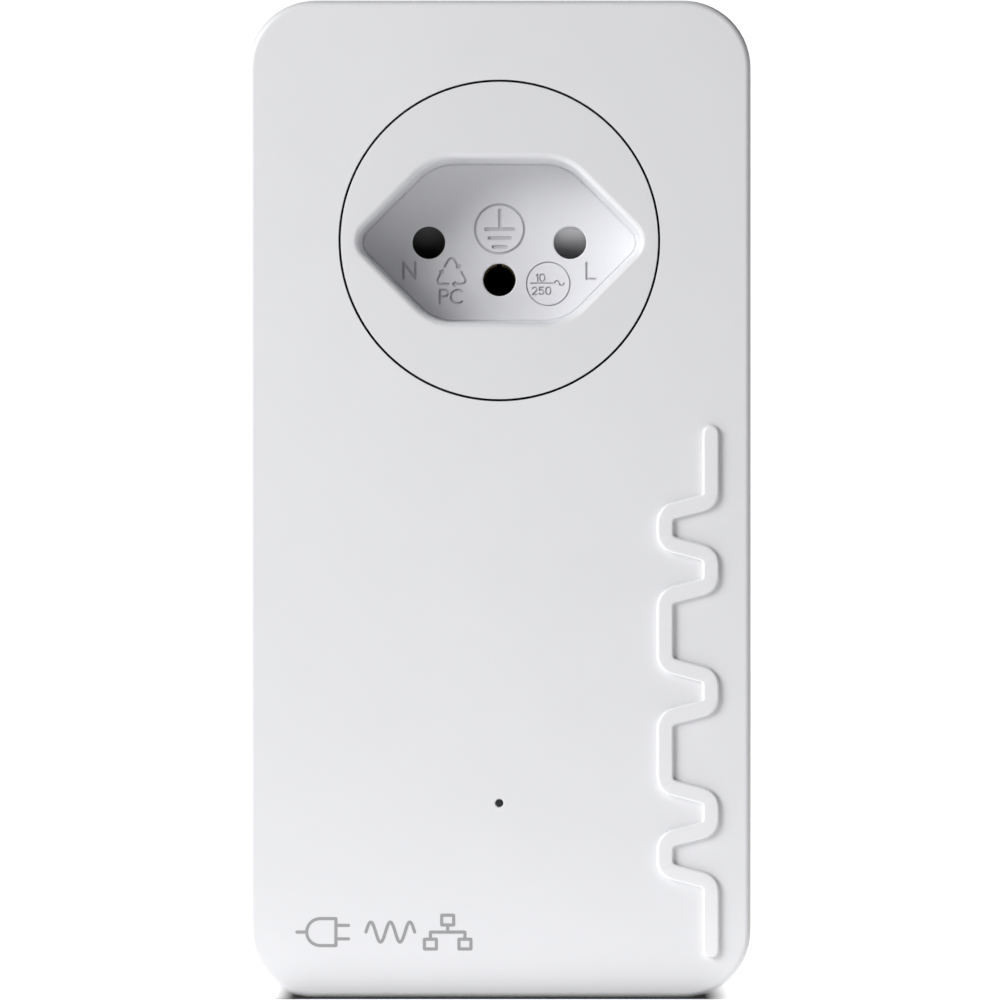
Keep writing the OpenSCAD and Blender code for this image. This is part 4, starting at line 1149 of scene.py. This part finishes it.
jack_low, jack_high = span("ethernet_jack_shell")
panel_low, panel_high = span("port_panel")
panel_w, panel_back, panel_play = panel_high.x - panel_low.x - 2.8, panel_low.z + 1.4, 0.05
button_at = (width / 2, (button_low.y + button_high.y) / 2, 26)
reset_low, reset_high = span("reset_button")
guide_low, guide_high = span("reset_guide")
guide_r = 2.4
reset_at = ((reset_low.x + reset_high.x) / 2, case_low.y, (reset_low.z + reset_high.z) / 2)


def rear_housing():
    right, up, down = (1, 0, 0), (0, 0, 1), (0, 0, -1)
    tools = [cutter_row("side_slots", slot_shape(vent_l, vent_w), (s, 0, 0),
                        (s * width / 2, side_vents_up, vent_out), side_vents, step(up=vent_pitch))
             for s in (-1, 1)]
    tools.append(cutter_row("top_slots", slot_shape(vent_w, vent_l), up,
                            ((1 - top_vents) / 2 * vent_pitch, case_high.y, vent_out), top_vents,
                            step(right=vent_pitch)))
    notch = box_shape(panel_w + 2 * panel_play, 2 * (panel_high.z - panel_back) + 2 * panel_play, 0.1)
    tools.append(turn_to(flared("notch", notch, wall + 1, 0.12), down, (0, case_low.y, panel_high.z)))
    tools.append(turn_to(flared("button_slot", box_shape(5.4, 12.4, 2.7), wall + 1), right, button_at))
    seat = ring_shape(guide_r + 0.05, 48)
    tools.append(turn_to(flared("guide_hole", seat, wall + 1, 0.12), down, reset_at))
    shell = tray()
    for tool in tools:
        shell = cut(shell, tool)
    tubes = corners.run(screw_tube(), "screw_tubes", Material=rear_white, **on_screws)
    whole = joined("rear_shell", shell, tubes)
    clean(whole)
    return finished(whole, "casing", ["rear_housing"])


rear_housing()

# %% [markdown]
# ## The port panel and the reset guide
#
# The Ethernet jack looks out through a panel that snaps into a notch in the bottom wall, so that one
# housing serves adapters with other ports. Beside it a small funnel leads a pin to the reset button. Both
# are made facing out and turned to face down.

# %% Port panel and reset guide


def port_panel():
    skin = Skin("port_frame").use(rear_white)
    lip, play, flange_t = lip_back, 0.05, 0.6

    def frame_box(w, back, front, grow=0.0):
        return rounded_box(w + 2 * grow, front - back + 2 * grow, 0.3, 0, (front + back) / 2, 3)

    outside = skin.loft([at(frame_box(panel_w, panel_back, panel_high.z, grow), out)
                         for grow, out in [(-0.18, 0), (-0.05, -0.05), (0, -0.18), (0, -1)]])
    inside = skin.loft([at(frame_box(panel_w - 2 * play, panel_back + play, lip - play), out)
                        for out in (-1, -wall)])
    flange = skin.loft([at(frame_box(panel_high.x - panel_low.x, panel_low.z, lip), out)
                        for out in (-wall, -wall - flange_t)])
    jack_w = jack_high.x - jack_low.x
    window = skin.loft([at(frame_box(jack_w + 0.6, jack_low.z - 0.3, jack_high.z + 0.3, grow), out)
                        for grow, out in [(0.25, 0), (0.08, -0.08), (0, -0.25), (0, -wall - flange_t)]])
    skin.plate(outside[0], [window[0]])
    skin.plate(outside[-1], [inside[0]])
    skin.plate(flange[0], [inside[-1]])
    skin.plate(flange[-1], [window[-1]])
    mesh = turn_to(skin.mesh(), (0, 0, -1), (0, case_low.y, 0))
    return finished(mesh, "casing", ["port_panel"])


def reset_guide():
    skin = Skin("reset_funnel").use(rear_white)
    hole, flange, deep = 0.9, (guide_high.x - guide_low.x) / 2, guide_high.y - guide_low.y
    skin.turned([(hole + 0.45, 0), (hole + 0.1, -0.15), (hole, -0.5), (hole, -deep), (flange, -deep),
                 (flange, -wall), (guide_r, -wall), (guide_r, -0.12), (guide_r - 0.12, 0)], steps=56)
    mesh = turn_to(skin.mesh(), (0, 0, -1), reset_at)
    return finished(mesh, "casing", ["reset_guide"])


port_panel()
reset_guide()

# %% [markdown]
# ## The plug
#
# Behind, a white six-sided body carries the pins and fits the recess of a wall socket. The pins are turned
# parts: a rounded tip, a bare end that conducts, and on the live pins a black sleeve, so that nothing live
# shows while the plug is half out. Each is one profile spun round its axis.

# %% Plug
plug_front = plug_low.z
root_r, neck_r, pin_r = 1.75, 1.45, 2.0
pins = {"line": (live_x, 0), "neutral": (-live_x, 0), "earth": (0, earth_up)}


def plug_body():
    skin = Skin("plug_moulding").use(rear_white)
    shape = lambda grow: hexagon(recess_tip + (grow - 0.5) * math.sqrt(2), recess_half - 0.5 + grow,
                                 tip_r + grow, side_r + grow)
    nose = [(-t, plug_front + d) for t, d in rounding(0.9, 6)][::-1]
    body = skin.loft([at(shape(grow), out) for grow, out in nose + [(0, -0.35), (0.1, -0.1), (0.3, 0)]])
    disc = skin.turned([(plug_disc_r - 0.15, 0), (plug_disc_r, 0.15), (plug_disc_r, wall), (21, wall),
                        (21, plug_high.z)], steps=128, closed=False)
    eye_r, eye_floor = pin_r + 0.4, plug_front + 0.35
    eyes = [skin.turned([(eye_r + 0.15, plug_front), (eye_r, plug_front + 0.1), (eye_r, eye_floor),
                         (root_r + 0.05, eye_floor), (root_r + 0.05, plug_high.z)], x, up, 48, False)
            for x, up in holes_at]
    skin.plate(body[0], [e[0] for e in eyes])
    skin.plate(disc[0], [body[-1]])
    skin.plate(disc[-1], [e[-1] for e in eyes])
    return finished(skin.mesh(), "casing", ["plug_insert"])


def pin_nose(tip):
    """The rounded end of a pin, from the centre of its tip out to its full radius."""
    return [(0.9 * math.sin(a), tip + 0.5 * (1 - math.cos(a))) for a in (0.3, 0.7, 1.1)] + \
           [(1.25, tip + 0.45), (1.6, tip + 0.85), (1.85, tip + 1.3), (1.97, tip + 1.7), (pin_r, tip + 2.1)]


def contact_pin(name):
    x, up = pins[name]
    low, high = span(f"{name}_pin")
    skin = Skin(f"{name}_contact_pin").use(nickel)
    live = name != "earth"
    shoulder = [(pin_r, sleeve_low.z - 0.1), (pin_r - 0.1, sleeve_low.z), (neck_r, sleeve_low.z),
                (neck_r, plug_front), (root_r, plug_front)] if live else [(pin_r, plug_front + 0.35),
                                                                         (root_r, plug_front + 0.35)]
    head = [(root_r, plug_high.z), (2.4, plug_high.z), (2.4, plug_high.z + 0.7), (1.2, plug_high.z + 0.9),
            (1.2, high.z - 0.15), (1.05, high.z)]
    skin.turned_solid(pin_nose(low.z) + shoulder + head, x, up, 56)
    if live:
        side = math.copysign(1, x)
        lug = rounded_box(6, 22.4, 0.6, side * 9, -8.25, 4)
        skin.extrude([lug] * 2, plug_high.z + 0.001, plug_high.z + 0.8)
    return finished(skin.mesh(), "casing", [f"{name}_pin"])


def pin_sleeve(name):
    x, up = pins[name]
    skin = Skin(f"{name}_black_sleeve").use(sleeve_plastic)
    low, high = sleeve_low.z, sleeve_high.z
    skin.turned([(neck_r + 0.02, low), (pin_r - 0.12, low), (pin_r - 0.02, low + 0.1), (pin_r, low + 0.3),
                 (pin_r, high), (neck_r + 0.02, high)], x, up, 56)
    return finished(skin.mesh(), "casing", [f"{name}_pin_sleeve"])


plug_body()
for pin in pins:
    contact_pin(pin)
for pin in ("line", "neutral"):
    pin_sleeve(pin)

# %% [markdown]
# ## Screws
#
# Four long screws hold the halves together from behind, deep in their wells. A pan head with a six-lobed
# socket is a lathe shape whose socket outline waves six times round, and one screw is enough: a tree puts
# it on the corners.

# %% Screws
well = 22


def screw():
    skin = Skin("casing_screw").use(zinc)
    lobes = [(r * math.cos(t), r * math.sin(t)) for t in [math.tau * i / 48 for i in range(48)]
             for r in [1.25 + 0.2 * math.cos(6 * t)]]
    socket = skin.loft([at(lobes, well - 2), at([(x * 0.95, y * 0.95) for x, y in lobes], well - 0.8)])
    head = skin.turned([(2.2, well - 2), (2.6, well - 1.75), (2.8, well - 1.2), (2.8, well), (1.5, well)],
                       steps=48, closed=False)
    thread = [(1.5 - 0.18 * (i % 2), well + 0.6 + i * 0.45) for i in range(34)]
    shank = skin.loft([at(circle(0, 0, r, 48), out) for r, out in [(1.5, well + 0.01)] + thread])
    skin.band(head[-1], shank[0])
    skin.plate(head[0], [socket[0]])
    skin.plate(socket[-1])
    skin.plate(shank[-1])
    return skin.mesh()


screws = corners.run(screw(), "casing_screws", Material=zinc, **on_screws)
clean(screws)
finished(screws, "casing", ["housing_screws"])

# %% [markdown]
# ## The pairing button
#
# The button is a crowned key in the right-hand side with two small linked rings sunk in it. It is made
# facing out and turned to face right, like the cutters. Its skirt behind the wall keeps it from falling
# out.

# %% Pairing button


def pairing_button():
    skin = Skin("pairing_key").use(button_white)
    proud, skirt_top, skirt_back = button_high.x, width / 2 - wall - 0.3, 29.9
    key = box_shape(5, 12, 2.5)
    crown = [(-t, proud - d) for t, d in rounding(0.7, 6)]
    levels = [(0.0, skirt_top)] + crown
    body = skin.loft([at(key(grow), out) for grow, out in levels])
    rings_mark = [half for s in (-1, 1) for half in hoop(0, s * 0.95, 0.75, 0.2, 12)]
    skin.plate(body[-1], [], rings_mark, 0.12)
    skirt = skin.loft([at(key(1.0), out) for out in (skirt_top, skirt_back)])
    skin.plate(skirt[0], [body[0]])
    stem = skin.turned([(1.3, skirt_back), (1.3, 27.6), (1.25, 27.6), (1.25, button_low.x)],
                       steps=32, closed=False)
    skin.plate(skirt[-1], [stem[0]])
    skin.plate(stem[-1])
    mesh = skin.mesh()
    spin = Matrix(((0, -1, 0, 0), (1, 0, 0, 0), (0, 0, 1, 0), (0, 0, 0, 1)))
    mesh.transform(Matrix.Translation(place((0, button_at[1], button_at[2]))) @ spin)
    return finished(mesh, "pairing_key", ["pairing_button"])


pairing_button()

# %% [markdown]
# ## The jack's contact springs
#
# Eight gilt wires lie side by side in the jack and bend down towards the mouth, so that a network plug
# lifts them. One wire follows a short bent path, and a tree repeats it across the port.

# %% Jack contacts
contact_low, contact_high = span("ethernet_contacts")


def path_mesh(name, points):
    mesh = bpy.data.meshes.new(name)
    mesh.from_pydata([place(p) for p in points], [(i, i + 1) for i in range(len(points) - 1)], [])
    return mesh


def jack_contacts():
    x, back, front = contact_low.x + 0.2, contact_high.y, contact_low.y
    low, high = contact_low.z + 0.2, contact_high.z - 0.2
    bend = softened([Vector((front + 0.1, low)), Vector((front + 1.2, low)), Vector((back - 1.2, high)),
                     Vector((back, high - 0.5))], 0.9, 4)
    one = wires.run(path_mesh("contact_path", [(x, up, out) for up, out in bend]), "contact_wire",
                    Radius=0.19 * MM, Sides=8, Material=gold)
    mesh = rows.run(one, "contact_springs", Count=8, Step=step(right=1.02), Material=gold)
    return finished(mesh, "casing", ["ethernet_contacts"])


jack_contacts()

# %% [markdown]
# ## Wound pieces
#
# The filter chokes are rings wound with thick enamelled wire, and the shutter's return spring is a close
# relative: a wire on a path given by a rule. A choke's path climbs round the core's section while it creeps
# round the ring.

# %% Chokes and spring
core_low, core_high = span("filter_cores")


def choke_path(x, up, turns, steps=16):
    """A wire wound on a ring core with the given turns, while it creeps 320 degrees round the ring."""
    core_r, hole = (core_high.y - core_low.y) / 2, 4.5
    mid_r, half_r = (core_r + hole) / 2, (core_r - hole) / 2 + 0.5
    mid_out, half_out = (core_high.z + core_low.z) / 2, (core_high.z - core_low.z) / 2 + 0.5
    points = []
    for i in range(turns * steps + 1):
        a = math.tau * i / steps
        round_ring = math.radians(110 + 320 * i / (turns * steps))
        flat = max(abs(math.cos(a)), abs(math.sin(a))) ** 0.72
        r, out = mid_r + half_r * math.cos(a) / flat, mid_out + half_out * math.sin(a) / flat
        points.append((x + r * math.cos(round_ring), up + r * math.sin(round_ring), out))
    return points


def choke_windings():
    made = []
    for side in (-1, 1):
        path = path_mesh("choke_path", choke_path(side * 15, (core_high.y + core_low.y) / 2, 17))
        made.append(wires.run(path, "choke_wire", Radius=0.45 * MM, Sides=8, Material=copper))
    mesh = joined("choke_windings", *made)
    return finished(mesh, "casing", ["filter_windings"])


def return_spring():
    """A helix that rides on the shutter."""
    low, high = span("shutter_spring")
    r, wire_r, turns = (high.x - low.x) / 2 - 0.25, 0.25, 6
    points = []
    for i in range(turns * 24 + 1):
        a, t = math.tau * i / 24, i / (turns * 24)
        points.append((r * math.cos(a), low.y + wire_r + (high.y - low.y - 2 * wire_r) * t,
                       (low.z + high.z) / 2 + r * math.sin(a)))
    mesh = wires.run(path_mesh("spring_path", points), "return_spring", Radius=wire_r * MM, Sides=10,
                     Material=spring_wire)
    piece = finished(mesh, "shutter", ["shutter_spring"])
    tuple(place((0, low.y, (low.z + high.z) / 2)))
    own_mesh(piece)


choke_windings()
return_spring()

# %% [markdown]
# ## Finishes for the pieces that stay as they are
#
# The rest of the frame's pieces have the right shape already. Each gets the finish of what it is made of, by
# assigning to the material slots that it came with.

# %% Finishes for the frame's own pieces
FINISHES = {
    shutter_painted_light_and_shade: ["shutter_slider"],
    carrier_plastic: ["contact_carrier"],
    zinc: ["inner_screws"],
    spring_wire: ["contact_clamp_rings"],
    brass: ["line_contact", "neutral_contact", "earth_contact", "board_spacers"],
    tin: ["ethernet_jack_shell"],
    black_plastic: ["fuse", "supply_chips", "coupling_transformer", "line_processor", "comm_chips",
                    "ethernet_magnetics", "ethernet_jack_body", "reset_button", "board_header"],
    switch_plastic: ["button_switches"],
    aluminium: ["heat_sink"],
    board: ["main_board", "comm_board"],
    label: ["rating_label"],
    brown: ["line_in_wire", "line_out_wire"],
    blue: ["neutral_in_wire", "neutral_out_wire"],
    earth_stripes: ["earth_wire"],
    fibre_sheet: ["insulation_sheet"],
    ferrite: ["mains_choke_core", "power_transformer_core"],
    powder_core: ["filter_cores"],
    winding: ["mains_choke_windings"],
    tape: ["power_transformer_winding"],
    capacitor_box: ["suppression_capacitor"],
    disc_coating: ["safety_capacitors", "varistor"],
    sleeve: ["bulk_capacitor", "output_capacitors"],
    opto_plastic: ["optocoupler"],
    ceramic: ["chip_capacitors"],
    pad_rubber: ["thermal_pad"],
    window: ["status_light"],
    clear: ["light_guide"],
}
for material, names in FINISHES.items():
    for name in names:
        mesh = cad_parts[name].data
        if not mesh.materials:
            mesh.materials.append(material)
        for i in range(len(mesh.materials)):
            mesh.materials[i] = material
print("frame pieces with a finish:", sum(len(names) for names in FINISHES.values()))

# %% [markdown]
# ## Floor, air and light
#
# The adapter stands on a white table in a white room. Two large soft lamps high on the left give the face
# its gradient and throw the recess's left and upper walls into shade. The table glows white, a third less
# in front, and carries a painted contact shadow: it is painted dark under the adapter and a few millimetres
# before and behind it.

# %% Floor


def floor_finish():
    finish = Finish("light_table_painted_contact_shadow", (0.9, 0.9, 0.9), Specular_IOR_Level=0.0, Emission_Strength=1.0)
    right, _, out = finish.sides()
    beside = (abs(right) - width / 2 + 6.0).ramp(0.0, 4.5)
    before = (abs(out - face / 2) - face / 2).ramp(2.0, 4.0)
    # Painted contact shadow: glow and colour fall to near black under and round the adapter's foot.
    glow_with_painted_shadow = beside.either(before) * (1.0 - out.ramp(face, face + 18.0) * 0.33)
    finish.set("Emission Color", finish.blend(glow_with_painted_shadow, (0.02, 0.02, 0.02), (1.0, 1.0, 1.0)))
    finish.set("Base Color", finish.blend(glow_with_painted_shadow, (0.06, 0.06, 0.06), (0.9, 0.9, 0.9)))
    finish.set("Roughness", 0.6 + finish.noise(20.0) * 0.1)
    finish.bump(finish.noise(0.6), 0.002)
    return finish.material


table = bpy.data.meshes.new("table")
reach, front, back, level = 1.5, -0.35, 0.6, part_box("rear_housing")[0].z
table_corners = [(-reach, front, level), (reach, front, level), (reach, back, level), (-reach, back, level)]
table.from_pydata(table_corners, [], [(0, 1, 2, 3)])
table.materials.append(floor_finish())
table_top = bpy.data.objects.new("table", table)
bpy.context.scene.collection.objects.link(table_top)

# %% Light
bpy.context.scene.view_settings.view_transform = "Standard"


def lamp(name, direction, distance, size, power):
    light = bpy.data.lights.new(name, "AREA")
    light.shape, light.size, light.energy = "DISK", size, power
    thing = bpy.data.objects.new(name, light)
    bpy.context.scene.collection.objects.link(thing)
    aim = place((0, aim_up, face))
    thing.location = aim + Vector(direction).normalized() * distance
    thing.rotation_euler = (thing.location - aim).to_track_quat("Z", "Y").to_euler()


LAMPS = [("key_lamp", (-0.66, -0.62, 0.42), 0.9, 0.55, 4.1),
         ("side_lamp", (-0.80, -0.50, 0.32), 0.9, 0.5, 3.4)]
for values in LAMPS:
    lamp(*values)

world = bpy.data.worlds.new("white_room")
bpy.context.scene.world = world
world.use_nodes = True
air = world.node_tree
seen, shade = air.nodes["Background"], air.nodes.new("ShaderNodeBackground")
seen.inputs["Color"].default_value = (1, 1, 1, 1)
shade.inputs["Color"].default_value = (1, 1, 1, 1)
seen.inputs["Strength"].default_value = 1.05
shade.inputs["Strength"].default_value = 0.03
choice, ray = air.nodes.new("ShaderNodeMixShader"), air.nodes.new("ShaderNodeLightPath")
air.links.new(ray.outputs["Is Camera Ray"], choice.inputs["Fac"])
air.links.new(shade.outputs[0], choice.inputs[1])
air.links.new(seen.outputs[0], choice.inputs[2])
air.links.new(choice.outputs[0], air.nodes["World Output"].inputs["Surface"])
print("lamps:", len(bpy.data.lights))
